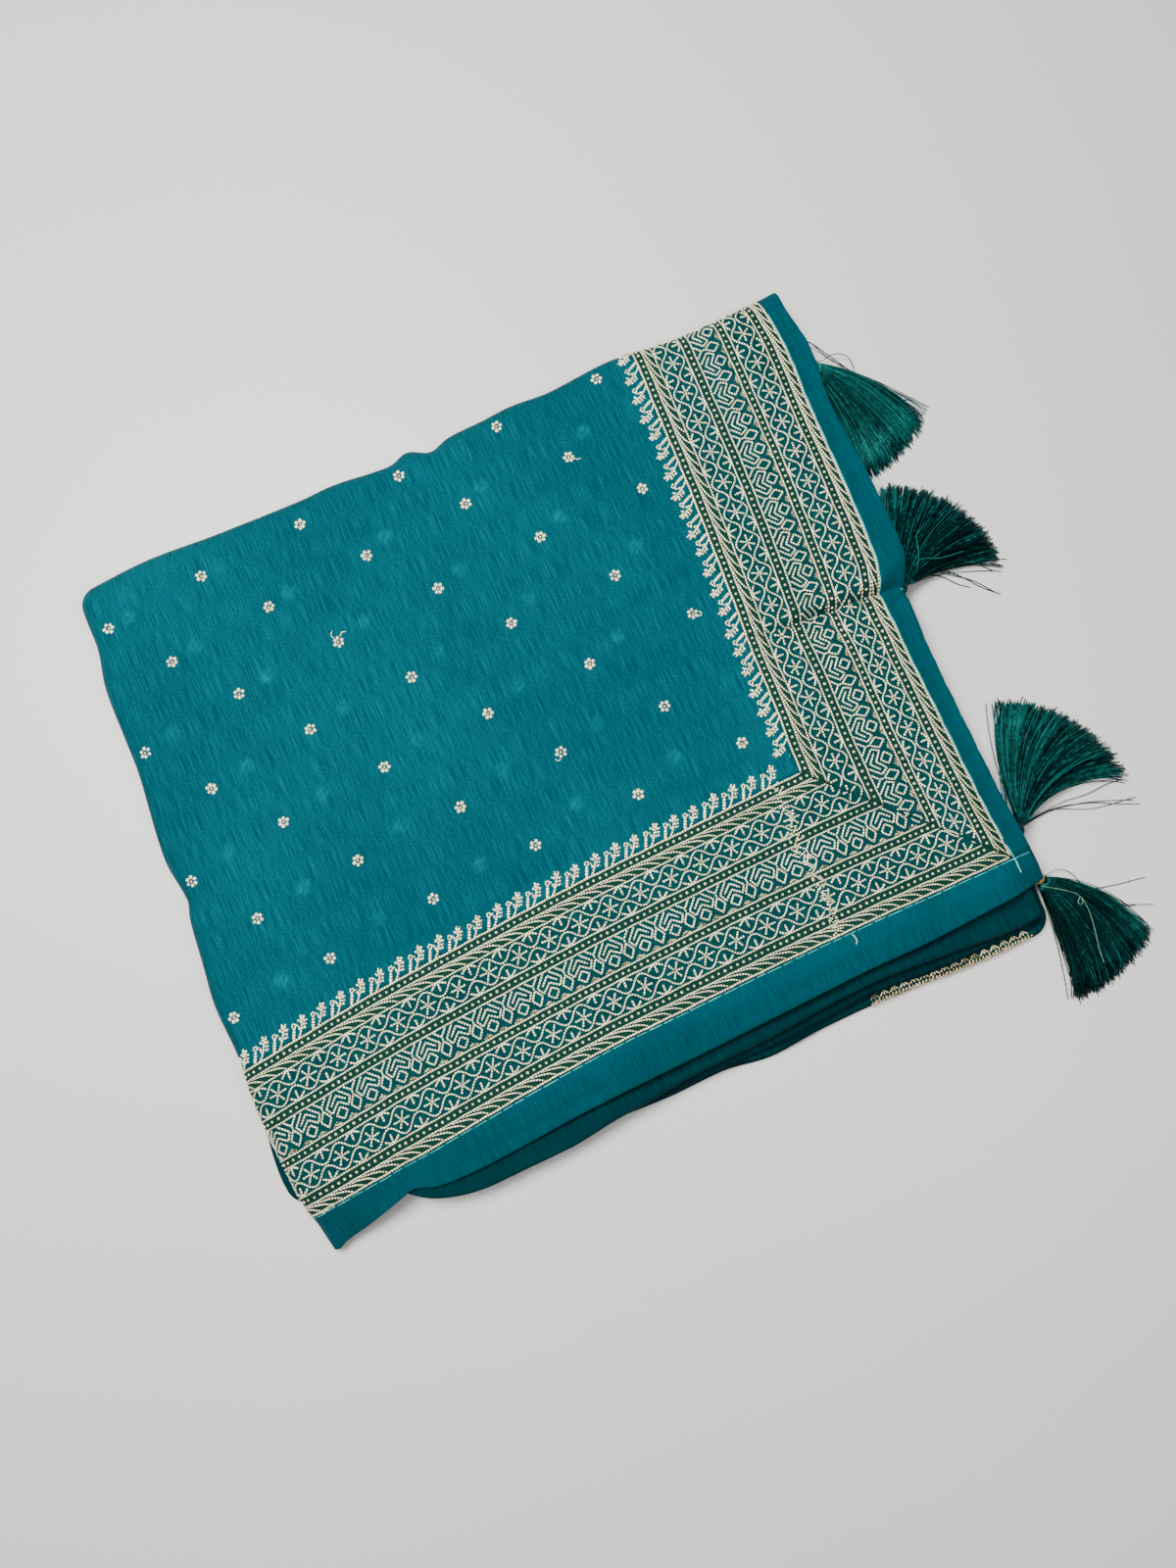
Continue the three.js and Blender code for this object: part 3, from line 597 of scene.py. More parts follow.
@dataclass
class Nodes:
    """Adds nodes to a material's or group's tree and joins them."""

    tree: bpy.types.NodeTree

    def add(self, kind: str, **settings: object) -> bpy.types.Node:
        """Adds a node, with its own settings.

        Args:
            kind: the node's type.
            settings: the node's own properties.

        Returns:
            The node.
        """
        node = self.tree.nodes.new(kind)
        for name, value in settings.items():
            setattr(node, name, value)
        return node

    def join(self, source: bpy.types.NodeSocket, target: bpy.types.NodeSocket) -> None:
        """Leads one socket into another."""
        self.tree.links.new(source, target)

    def put(self, value: object, socket: bpy.types.NodeSocket) -> None:
        """Leads a socket into another, or sets that one to a value.

        Args:
            value: the first socket, or the value.
            socket: the socket that takes it.
        """
        if isinstance(value, bpy.types.NodeSocket):
            self.join(value, socket)
        else:
            socket.default_value = value

    def maths(self, operation: str, a: object, b: object) -> bpy.types.NodeSocket:
        """A sum on two values, each a socket or a number.

        Args:
            operation: the sum's name.
            a: the first value.
            b: the second value.

        Returns:
            The result's socket.
        """
        node = self.add("ShaderNodeMath", operation=operation)
        self.put(a, node.inputs[0])
        self.put(b, node.inputs[1])
        return node.outputs[0]

    def ramp(self, value: bpy.types.NodeSocket, low: float, high: float) -> bpy.types.NodeSocket:
        """Spreads values from low to high over 0 to 1.

        Args:
            value: the values.
            low: the value that becomes 0.
            high: the value that becomes 1.

        Returns:
            The result's socket.
        """
        node = self.add("ShaderNodeMapRange", interpolation_type="SMOOTHSTEP")
        self.join(value, node.inputs["Value"])
        node.inputs["From Min"].default_value = low
        node.inputs["From Max"].default_value = high
        return node.outputs["Result"]

    def blend(self, share: bpy.types.NodeSocket, first: object, second: object) -> bpy.types.NodeSocket:
        """Mixes two colours, each a socket or a value.

        Args:
            share: how much of the second colour.
            first: the first colour.
            second: the second colour.

        Returns:
            The mixed colour's socket.
        """
        node = self.add("ShaderNodeMix", data_type="RGBA")
        self.join(share, node.inputs[MIX_SHARE])
        self.put(first, node.inputs[MIX_FIRST])
        self.put(second, node.inputs[MIX_SECOND])
        return node.outputs[2]

    def noise(
        self, vector: bpy.types.NodeSocket, scale: tuple[float, float, float], detail: float
    ) -> bpy.types.NodeSocket:
        """A noise whose grain is stretched by a scale for each axis.

        Args:
            vector: the place that it is read at.
            scale: how fine it is along each axis.
            detail: how many finer octaves it has.

        Returns:
            The noise's socket, from 0 to 1.
        """
        place = self.add("ShaderNodeMapping")
        self.join(vector, place.inputs["Vector"])
        place.inputs["Scale"].default_value = scale
        grain = self.add("ShaderNodeTexNoise")
        self.join(place.outputs[0], grain.inputs["Vector"])
        grain.inputs["Scale"].default_value = 1.0
        grain.inputs["Detail"].default_value = detail
        return grain.outputs["Fac"]


def effect_group(
    name: str, vectors: Sequence[str], values: Sequence[str]
) -> tuple[Nodes, bpy.types.Node, bpy.types.Node]:
    """Starts a node group that puts out a shade and a height.

    Args:
        name: the group's name.
        vectors: the names of its vector inputs.
        values: the names of its value inputs.

    Returns:
        The group's nodes, its input and its output.
    """
    tree = bpy.data.node_groups.new(name, "ShaderNodeTree")
    for socket in vectors:
        tree.interface.new_socket(name=socket, in_out="INPUT", socket_type="NodeSocketVector")
    for socket in values:
        tree.interface.new_socket(name=socket, in_out="INPUT", socket_type="NodeSocketFloat")
    for socket in ("Shade", "Height"):
        tree.interface.new_socket(name=socket, in_out="OUTPUT", socket_type="NodeSocketFloat")
    n = Nodes(tree)
    return n, n.add("NodeGroupInput"), n.add("NodeGroupOutput")


def slub_weave_group() -> bpy.types.NodeTree:
    """The woven cloth's own effect: uneven slub yarns one way, finer yarns the other, and soft clouding.

    Returns:
        A group that takes a flat place on the cloth and puts out a shade and a height.
    """
    n, into, out = effect_group("slub weave", ("Place",), ("Slub", "Grain"))
    place = into.outputs["Place"]
    slubs = n.noise(place, (1700, 36, 1), 2)
    yarns = n.noise(place, (3600, 80, 1), 1)
    weft = n.noise(place, (700, 3000, 1), 1)
    clouds = n.noise(place, (18, 11, 1), 2)
    thick = n.ramp(slubs, 0.58, 0.8)
    both = n.maths("ADD", n.maths("MULTIPLY", yarns, 0.6), n.maths("MULTIPLY", weft, 0.4))
    fine = n.maths("SUBTRACT", both, 0.5)
    thick_part = n.maths("MULTIPLY", n.maths("MULTIPLY", thick, into.outputs["Slub"]), 0.28)
    fine_part = n.maths("MULTIPLY", n.maths("MULTIPLY", fine, into.outputs["Grain"]), 2.1)
    cloud_part = n.maths("MULTIPLY", n.maths("SUBTRACT", clouds, 0.5), 0.3)
    shade = n.maths("ADD", n.maths("ADD", thick_part, 0.5), fine_part)
    shade = n.maths("ADD", shade, cloud_part)
    n.join(shade, out.inputs["Shade"])
    height = n.maths("ADD", n.maths("MULTIPLY", fine, 0.7), n.maths("MULTIPLY", thick, 0.5))
    n.join(height, out.inputs["Height"])
    return n.tree


def thread_spin_shade_group() -> bpy.types.NodeTree:
    """The spun thread's mottled fibres, with painted shade where one stitch meets the next and a painted
    highlight on each stitch's crest.

    Returns:
        A group that takes a place along the thread, one in space and the thread's own tone, and puts out a
        shade and a height.
    """
    n, into, out = effect_group("thread spin and stitch shade", ("Along", "Where"), ("Tone", "Parting"))
    parts = n.add("ShaderNodeSeparateXYZ")
    n.join(into.outputs["Along"], parts.inputs[0])
    beat = n.maths("PINGPONG", n.maths("MULTIPLY", parts.outputs[0], 1 / (STITCH_LENGTH * MM)), 0.5)
    full = n.ramp(beat, 0.0, 0.32)
    mottle = n.noise(into.outputs["Where"], (620, 620, 620), 2)
    shade = n.maths("ADD", mottle, n.maths("SUBTRACT", into.outputs["Tone"], 0.5))
    # painted shade where the stitches part, and a painted highlight on each stitch's crest
    parted = n.maths("MULTIPLY", n.maths("SUBTRACT", full, 0.8), into.outputs["Parting"])
    n.join(n.maths("ADD", shade, parted), out.inputs["Shade"])
    n.join(n.maths("ADD", n.maths("MULTIPLY", full, into.outputs["Parting"]), mottle), out.inputs["Height"])
    return n.tree


SLUB_WEAVE = slub_weave_group()
THREAD_SPIN_SHADE = thread_spin_shade_group()


@dataclass(frozen=True)
class Finish:
    """What every finish has: its name and its colour in shade, in light and where it glints."""

    name: str
    dark: tuple[int, int, int]
    light: tuple[int, int, int]
    glint: tuple[int, int, int]

    def _start(self) -> tuple[bpy.types.Material, Nodes, bpy.types.Node]:
        """Starts the material.

        Returns:
            The material, its nodes and its surface.
        """
        made = bpy.data.materials.new(self.name)
        made.use_nodes = True
        return made, Nodes(made.node_tree), made.node_tree.nodes["Principled BSDF"]

    def _raise(
        self, n: Nodes, surface: bpy.types.Node, height: bpy.types.NodeSocket, strength: float, high: float
    ) -> None:
        """Raises the surface by a height.

        Args:
            n: the material's nodes.
            surface: its surface.
            height: the height's socket.
            strength: how strongly it shows.
            high: its whole height in millimetres.
        """
        bump = n.add("ShaderNodeBump")
        bump.inputs["Strength"].default_value = strength
        bump.inputs["Distance"].default_value = high * MM
        n.join(height, bump.inputs["Height"])
        n.join(bump.outputs["Normal"], surface.inputs["Normal"])


@dataclass(frozen=True)
class ClothFinish(Finish):
    """A soft silk-blend cloth with uneven yarns."""

    slub: float = 1.0
    grain: float = 1.0
    tone_colour: tuple[int, int, int] = (10, 128, 140)  # where the piece's tone is 1: the flowers beneath on the field, painted shade of the dense rows on the border ground
    roughness: float = 0.6
    rough_change: float = 0.08  # smoother where the cloth is light, rougher where it is dark

    def material(self) -> bpy.types.Material:
        """Builds the material; it reads the piece's flat places and its tone, which is painted shade on the
        border ground.

        Returns:
            The material.
        """
        made, n, surface = self._start()
        flat = n.add("ShaderNodeUVMap", uv_map="flat")
        weave = n.add("ShaderNodeGroup", node_tree=SLUB_WEAVE)
        weave.inputs["Slub"].default_value = self.slub
        weave.inputs["Grain"].default_value = self.grain
        n.join(flat.outputs["UV"], weave.inputs["Place"])
        shade = weave.outputs["Shade"]
        base = n.blend(n.ramp(shade, 0.2, 0.85), colour(*self.dark), colour(*self.light))
        base = n.blend(n.ramp(shade, 0.84, 1.25), base, colour(*self.glint))
        own = n.add("ShaderNodeAttribute", attribute_name="tone")
        base = n.blend(own.outputs["Fac"], base, colour(*self.tone_colour))
        n.join(base, surface.inputs["Base Color"])
        rough = n.add("ShaderNodeMapRange")
        n.join(shade, rough.inputs["Value"])
        rough.inputs["To Min"].default_value = self.roughness + self.rough_change
        rough.inputs["To Max"].default_value = self.roughness - self.rough_change
        n.join(rough.outputs["Result"], surface.inputs["Roughness"])
        surface.inputs["Specular IOR Level"].default_value = 0.05
        surface.inputs["Specular Tint"].default_value = colour(*self.glint)
        self._raise(n, surface, weave.outputs["Height"], 0.4, 0.12)
        return made


@dataclass(frozen=True)
class ThreadFinish(Finish):
    """A spun thread, shaded by each thread's tone, with painted shade where one stitch meets the next and a
    painted highlight on each stitch's crest.
    """

    parting: float = 0.0  # how much darker it is between two stitches, as painted shade, with a painted highlight on their crests
    roughness: float = 0.42
    metal: float = 0.0
    sheen: float = 0.1
    tint: tuple[int, int, int] = (255, 255, 255)

    def material(self) -> bpy.types.Material:
        """Builds the material; it reads the length along each thread and its tone.

        Returns:
            The material.
        """
        made, n, surface = self._start()
        flat = n.add("ShaderNodeUVMap", uv_map="flat")
        where = n.add("ShaderNodeTexCoord")
        own = n.add("ShaderNodeAttribute", attribute_name="tone")
        spin = n.add("ShaderNodeGroup", node_tree=THREAD_SPIN_SHADE)
        spin.inputs["Parting"].default_value = self.parting
        n.join(flat.outputs["UV"], spin.inputs["Along"])
        n.join(where.outputs["Object"], spin.inputs["Where"])
        n.join(own.outputs["Fac"], spin.inputs["Tone"])
        shade = spin.outputs["Shade"]
        base = n.blend(n.ramp(shade, 0.1, 0.52), colour(*self.dark), colour(*self.light))
        base = n.blend(n.ramp(shade, 0.5, 0.8), base, colour(*self.glint))
        n.join(base, surface.inputs["Base Color"])
        surface.inputs["Roughness"].default_value = self.roughness
        surface.inputs["Metallic"].default_value = self.metal
        surface.inputs["Sheen Weight"].default_value = self.sheen
        surface.inputs["Specular IOR Level"].default_value = 0.5
        surface.inputs["Specular Tint"].default_value = colour(*self.tint)
        self._raise(n, surface, spin.outputs["Height"], 0.5, 0.2)
        return made


FIELD_FINISH = ClothFinish(
    "teal field cloth", (0, 47, 54), (0, 75, 84), (0, 105, 114), 0.8, tone_colour=(0, 130, 140)
)
# the border ground's tone colour is the painted shade of the dense rows' threads
GROUND_FINISH = ClothFinish(
    "teal border ground", (1, 34, 36), (2, 61, 63), (3, 85, 85), 0.5, tone_colour=(15, 42, 31)
)
# a little darker than the field cloth: painted shade of the hems' falling slopes
HEM_FINISH = ClothFinish("teal hem cloth", (0, 47, 55), (0, 72, 81), (1, 100, 110), 0.6, grain=0.6)
# the layers beneath are the same cloth, painted darker as the shade beneath the top layer
SHADED_UNDER_FINISH = ClothFinish("teal under cloth in painted shade", (0, 28, 32), (0, 47, 52), (1, 76, 82), 0.7, grain=0.6)
BORDER_THREAD = ThreadFinish(
    "pale gold thread", (80, 68, 32), (252, 240, 184), (255, 252, 220),
    parting=1.0, roughness=0.34, metal=0.3,
)
OLD_GOLD_THREAD = ThreadFinish(
    "shaded gold thread", (104, 82, 42), (222, 198, 144), (250, 236, 190),
    parting=0.5, roughness=0.4, metal=0.2,
)
STITCH_THREAD = ThreadFinish("bright teal thread", (0, 98, 104), (5, 134, 138), (80, 184, 178))
TASSEL_THREAD = ThreadFinish(
    "tassel silk", (0, 7, 8), (0, 35, 35), (5, 86, 81), roughness=0.28, sheen=0.0, tint=(70, 220, 205)
)
PALE_THREAD = ThreadFinish(
    "pale loose thread", (54, 107, 80), (116, 160, 134), (166, 192, 170), roughness=0.5
)
WIRE = ThreadFinish("gold wire", (150, 96, 30), (214, 156, 70), (255, 214, 130), roughness=0.26, metal=0.85)


def dress(obj: bpy.types.Object, finish: ClothFinish | ThreadFinish, slot: str, *nodes: str) -> None:
    """Gives a piece its finish and its body, and hides the solids that it stands for.

    Args:
        obj: the piece.
        finish: its finish.
        slot: not used.
        nodes: the solids that it stands for.
    """
    made = bpy.data.materials.get(finish.name) or finish.material()
    obj.data.materials.clear()
    obj.data.materials.append(made)
    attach(obj, ROOT)
    if nodes:
        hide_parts(*nodes)


def report(pieces: Sequence[bpy.types.Object]) -> None:
    """Logs each piece's name and how many triangles it has.

    Args:
        pieces: the pieces.
    """
    for obj in pieces:
        obj.data.calc_loop_triangles()
        log.info("%s: %d triangles", obj.name, len(obj.data.loop_triangles))


# ---- cloth panels of the top ----

Edge = Callable[[Array], Array]


@dataclass
class Panel:
    """A panel of the top cloth between four edges: left and right give p at a q, near and far q at a p."""

    name: str
    node: str
    finish: ClothFinish
    slot: str
    flat: tuple[float, float]  # the cut of what shows, in millimetres
    left: Edge
    right: Edge
    near: Edge
    far: Edge
    columns: int
    rows: int
    roll_left: bool = False
    roll_back: bool = False
    turned_near: bool = False
    turned_right: bool = False
    roll_steps: int = 14
    thickness: float = 0.5
    turned_thickness: float = 0.34  # of a panel with a turned hem
    hem_radius: float = 0.42
    hem_depth: int = 3  # stations that the turned hem runs back under
    hem_run: float = 0.6  # of flat cloth from one of them to the next
    rounds: int = 6  # until the edges' meeting points settle
    area: float | None = None
    tone: Callable[[Array, Array], Array] | None = None

    def _stations(self, rolled: bool, count: int) -> tuple[Array, Array]:
        """The turn of each station in degrees, and its share of the way.

        Args:
            rolled: whether they begin on a rolled fold.
            count: how many steps there are past it.

        Returns:
            The turns and the shares.
        """
        share = np.arange(count + 1) / count
        if not rolled:
            return np.zeros(count + 1), share
        turns = TOP.fold_turn * (1 - np.arange(self.roll_steps) / self.roll_steps)
        turns = np.concatenate([turns, np.zeros(count + 1)])
        return turns, np.concatenate([np.zeros(self.roll_steps), share])

    def _meet(self, edge: Edge, share: Array) -> Array:
        """The q at which the stations of the columns meet a near or far edge.

        Args:
            edge: the near or far edge.
            share: each column's share of the way across.

        Returns:
            A q for each column.
        """
        p, q = np.zeros_like(share), np.zeros_like(share)
        for _ in range(self.rounds):
            q = edge(p)
            p = lerp(self.left(q), self.right(q), share)
        return q

    def places(self) -> tuple[Array, Array]:
        """The flat places of the panel's grid, row by row from near to far.

        Returns:
            The grids of p and q.
        """
        turn_p, share_p = self._stations(self.roll_left, self.columns)
        turn_q, share_q = self._stations(self.roll_back, self.rows)
        turn_q, share_q = turn_q[::-1], 1 - share_q[::-1]
        near, far = self._meet(self.near, share_p), self._meet(self.far, share_p)
        q = lerp(near[None], far[None], share_q[:, None])
        p = lerp(self.left(q), self.right(q), share_p[None])
        radius = TOP.radius(p, q)
        return p - radius * np.radians(turn_p)[None], q + radius * np.radians(turn_q)[:, None]

    def _turn_under(
        self, at: Array, normal: Array, flat: tuple[Array, Array]
    ) -> tuple[Array, Array, Array]:
        """Adds rows that take the last row round a turned hem and back beneath it.

        Args:
            at: the grid's points.
            normal: their normals.
            flat: their flat places.

        Returns:
            The longer grid and its flat places.
        """
        p, q = flat
        out = unit(at[-1] - at[-2])
        r = self.hem_radius
        bend = np.radians((45, 90, 135))
        rows = [at[-1] + r * (math.sin(a) * out - (1 - math.cos(a)) * normal[-1]) for a in bend]
        rows += [at[-1 - k] - 2 * r * normal[-1 - k] for k in range(self.hem_depth + 1)]
        extra = len(rows)
        run = self.hem_run * np.arange(1, extra + 1)[:, None]
        return (
            np.concatenate([at, np.stack(rows)]),
            np.concatenate([p, np.repeat(p[-1:], extra, 0)]),
            np.concatenate([q, np.repeat(q[-1:], extra, 0) - run]),
        )

    def build(self) -> bpy.types.Object:
        """Makes the panel as a thin closed shell.

        Returns:
            The panel.
        """
        p, q = self.places()
        at, normal = TOP.outer(p, q)
        if self.turned_near:
            at, p, q = self._turn_under(at[::-1], normal[::-1], (p[::-1], q[::-1]))
            at, p, q = at[::-1], p[::-1], q[::-1]
        if self.turned_right:
            at, normal, p, q = (np.swapaxes(grid, 0, 1) for grid in (at, normal, p, q))
            at, p, q = self._turn_under(at, normal, (p, q))
            at, p, q = (np.swapaxes(grid, 0, 1) for grid in (at, p, q))
        tone = self.tone(p, q) if self.tone else np.zeros(p.shape)
        obj = mesh_object(
            self.name,
            at.reshape(-1, 3),
            grid_faces(*p.shape),
            np.stack([p, q], -1).reshape(-1, 2),
            tone.ravel(),
        )
        turned = self.turned_near or self.turned_right
        solidify(obj, self.turned_thickness if turned else self.thickness)
        dress(obj, self.finish, self.slot, self.node)
        return obj


SEAM = 0.02  # from each panel to the middle of the seam between them


def pallu_line(column: int, by: float = 0.0) -> Edge:
    """An edge along one of the pallu's lines, by millimetres beside it."""
    return lambda q: PALLU_LINES.at(q, column) + by


def long_line(column: int, by: float = 0.0) -> Edge:
    """An edge along one of the selvedge's lines, by millimetres beside it."""
    return lambda p: LONG_LINES.at(p, column) + by


def mitre_x(q: Array) -> Array:
    """The x of the mitre at a q."""
    return INNER_CORNER[0] + (q - INNER_CORNER[1]) * MITRE_RUN


def mitre_y(p: Array) -> Array:
    """The y of the mitre at a p."""
    return INNER_CORNER[1] + (p - INNER_CORNER[0]) / MITRE_RUN


GHOST_FLOWERS = (
    (-141, 135), (-98, 140), (-120, 112), (-75, 117), (-29, 123), (17, 127), (66, 131), (-142, 82),
    (-97, 88), (-51, 93), (-6, 97), (42, 101), (-119, 57), (-73, 63), (-28, 69), (16, 74), (66, 76),
    (-140, 27), (-95, 33), (-50, 38), (-3, 42), (43, 44), (-117, 1), (-71, 8), (-23, 12), (20, 14),
    (-140, -30), (-94, -23), (-47, -20), (-1, -13), (44, -12),
)  # flowers of the layer beneath, faint through the cloth


def ghost_tone(p: Array, q: Array) -> Array:
    """How much the flowers of the layer beneath show through.

    Args:
        p: flat places along the selvedge.
        q: flat places across it.

    Returns:
        The shade there.
    """
    tone = np.zeros(p.shape)
    for i, (x, y) in enumerate(GHOST_FLOWERS):
        away = np.hypot(p - x, q - y)
        petals = 0.62 + 0.38 * np.cos(6 * np.arctan2(q - y, p - x) + i)
        speckle = 0.75 + 0.25 * np.sin(3.1 * p + i) * np.sin(2.7 * q + 2 * i)
        tone += (0.3 + 0.1 * vary(i, 3)) * petals * speckle * np.exp(-(((away - 1.7) / 1.2) ** 2))
    return tone


@dataclass(frozen=True)
class BandRows:
    """Where the border's rows lie across it, in millimetres out from its first line."""

    lines: tuple[float, ...] = (0, 3.9, 8.3, 21.3, 25.4, 38.9, 42.8, 56.2, 60.4, 65.1)
    dots: tuple[float, ...] = (2.0, 23.35, 40.85, 58.3)
    leaves: tuple[tuple[float, float], ...] = ((3.9, 8.3), (60.4, 65.1))
    stars: tuple[tuple[float, float], ...] = ((8.3, 21.3), (42.8, 56.2))
    keys: tuple[float, float] = (25.4, 38.9)
    width: float = 65.1
    middle: float = 38.9
    dense: tuple[tuple[float, float], ...] = ((-0.6, 8.6), (21, 25.7), (38.4, 43), (56, 65.9))
    fade: float = 0.7  # how far the dense rows' shade fades out beyond them, and in within them
    ease: float = 0.5
    # cover: how strong the painted shade of the dense rows is at its fullest
    cover: float = 0.85

    def dense_row_shade(self, t: Array) -> Array:
        """How much painted shade of the dense rows' threads darkens and greys the ground.

        Args:
            t: places across the border.

        Returns:
            The shade there.
        """
        tone = np.zeros(np.shape(t))
        for start, end in self.dense:
            rise = smoothstep(t, start - self.fade, start + self.ease)
            fall = 1 - smoothstep(t, end - self.ease, end + self.fade)
            tone = np.maximum(tone, np.minimum(rise, fall))
        return self.cover * tone


ROWS = BandRows()
FIRST_LINE = 0.6  # from the inner seam out to the first line
LAST_LINE = 0.8  # from the last line out to the outer seam


class Side(Enum):
    """The two bands of the border."""

    LONG = "long"
    PALLU = "pallu"


@dataclass(frozen=True)
class Band:
    """Turns a place in the border's pattern into a flat place on the cloth."""

    side: Side
    pitch: float
    counts: tuple[float, ...] = (-5.0, -2.5, -2.0, -1.0, 0.0, 1.0, 2.0)
    long_x: tuple[float, ...] = (170.3, 138.0, 131.5, 118.6, 104.6, 91.5, 77.62)
    pallu_y: tuple[float, ...] = (-122.0, -89.5, -83.0, -69.0, -55.0, -40.3, -26.2)
    flat_from: float = -160  # the places between which the cloth lies flat
    flat_to: float = 148
    mitre_gap: float = 0.25  # that the stitching keeps from the mitre, and from the folds' ends
    fold_gap: float = 0.6

    def along(self, count: Array) -> Array:
        """The place along the cloth of a count of repeats from the corner.

        Args:
            count: repeats from the corner.

        Returns:
            Places along the cloth.
        """
        count = np.asarray(count, float)
        known = self.long_x if self.side is Side.LONG else self.pallu_y
        step = -self.pitch if self.side is Side.LONG else self.pitch
        near = np.interp(count, self.counts, known)
        return np.where(count > self.counts[-1], known[-1] + (count - self.counts[-1]) * step, near)

    def _lines(self, along: Array) -> tuple[Array, Array, Array]:
        """Where the first, middle and last line lie across the cloth.

        Args:
            along: places along the cloth.

        Returns:
            The three lines' places across it.
        """
        table, sign = (LONG_LINES, -1) if self.side is Side.LONG else (PALLU_LINES, 1)
        first = table.at(along, INNER) + sign * FIRST_LINE
        return first, table.at(along, MIDDLE), table.at(along, OUTER) - sign * LAST_LINE

    def across(self, along: Array, t: Array) -> Array:
        """The place across the cloth, t millimetres out from the first line.

        Args:
            along: places along the cloth.
            t: millimetres out from the first line.

        Returns:
            Places across the cloth.
        """
        first, middle, last = self._lines(along)
        inner = lerp(first, middle, t / ROWS.middle)
        outer = lerp(middle, last, (t - ROWS.middle) / (ROWS.width - ROWS.middle))
        return np.where(t < ROWS.middle, inner, outer)

    def place(self, count: Array, t: Array) -> Array:
        """Flat places (p, q) of places in the pattern.

        Args:
            count: repeats from the corner.
            t: millimetres out from the first line.

        Returns:
            The flat places, one row each.
        """
        along = self.along(count)
        across = self.across(along, np.asarray(t, float))
        pair = (along, across) if self.side is Side.LONG else (across, along)
        return np.stack(pair, -1)

    def row_of(self, p: Array, q: Array) -> Array:
        """How far out across the border a flat place lies.

        Args:
            p: flat places along the selvedge.
            q: flat places across it.

        Returns:
            Millimetres out from the first line.
        """
        along, across = (p, q) if self.side is Side.LONG else (q, p)
        first, middle, last = self._lines(along)
        share = (across - first) / (middle - first)
        beyond = (across - middle) / (last - middle)
        return np.where(share < 1, share * ROWS.middle, ROWS.middle + beyond * (ROWS.width - ROWS.middle))

    def dense_row_shade(self, p: Array, q: Array) -> Array:
        """The painted shade that the band's dense rows cast on the ground, at a flat place."""
        return ROWS.dense_row_shade(self.row_of(p, q))

    def keeps(self, flat: Array) -> Array:
        """Which flat places lie on this band's side of the mitre and short of the folds' ends.

        Args:
            flat: flat places, one row each.

        Returns:
            True for each place that is kept.
        """
        p, q = flat[..., 0], flat[..., 1]
        radius = TOP.radius(np.maximum(p, self.flat_from), np.minimum(q, self.flat_to))
        rolled = math.radians(TOP.fold_turn) * radius - self.fold_gap
        if self.side is Side.LONG:
            return (p < mitre_x(q) - self.mitre_gap) & (p > TOP.left_start(q) - rolled)
        return (q > mitre_y(p) + self.mitre_gap) & (q < TOP.back_start(p) + rolled)


LONG_BAND = Band(Side.LONG, 13.88)
PALLU_BAND = Band(Side.PALLU, 14.1)


def top_panels() -> list[Panel]:
    """The five panels of the top cloth.

    Returns:
        The field, the two bands and the two hems.
    """
    return [
        Panel(
            "field_cloth", "field_panel", FIELD_FINISH, "field_cloth", flat=(278, 218),
            left=TOP.left_start, right=pallu_line(INNER, -SEAM),
            near=long_line(INNER, SEAM), far=TOP.back_start,
            columns=165, rows=124, roll_left=True, roll_back=True, tone=ghost_tone,
        ),
        Panel(
            "selvedge_band_cloth", "long_border", GROUND_FINISH, "border_thread", flat=(337, 67),
            left=TOP.left_start, right=lambda q: mitre_x(q) - SEAM,
            near=long_line(OUTER, SEAM), far=long_line(INNER, -SEAM),
            columns=190, rows=62, roll_left=True, area=304 * 67, tone=LONG_BAND.dense_row_shade,
        ),
        Panel(
            "pallu_band_cloth", "pallu_border", GROUND_FINISH, "border_thread", flat=(66, 276),
            left=pallu_line(INNER, SEAM), right=pallu_line(OUTER, -SEAM),
            near=lambda p: mitre_y(p) + SEAM, far=TOP.back_start,
            columns=62, rows=150, roll_back=True, area=66 * 243, tone=PALLU_BAND.dense_row_shade,
        ),
        Panel(
            "selvedge_hem_cloth", "long_hem", HEM_FINISH, "hem_cloth", flat=(347, 26),
            left=TOP.left_start, right=pallu_line(EDGE),
            near=HEM_EDGE.at, far=long_line(OUTER, -SEAM),
            columns=210, rows=13, roll_left=True, turned_near=True, area=347 * 20,
        ),
        Panel(
            "pallu_hem_cloth", "pallu_hem", HEM_FINISH, "hem_cloth", flat=(15, 282),
            left=pallu_line(OUTER, SEAM), right=pallu_line(EDGE),
            near=long_line(OUTER, SEAM), far=TOP.back_start,
            columns=9, rows=170, roll_back=True, turned_right=True,
        ),
    ]


# ---- embroidery ----


@dataclass
class Stroke:
    """A stitched line: its points in the pattern or on the flat cloth, its width, height and shade."""

    points: Array
    width: float | Array = 0.95
    high: float = 0.42
    tone: float = 0.5


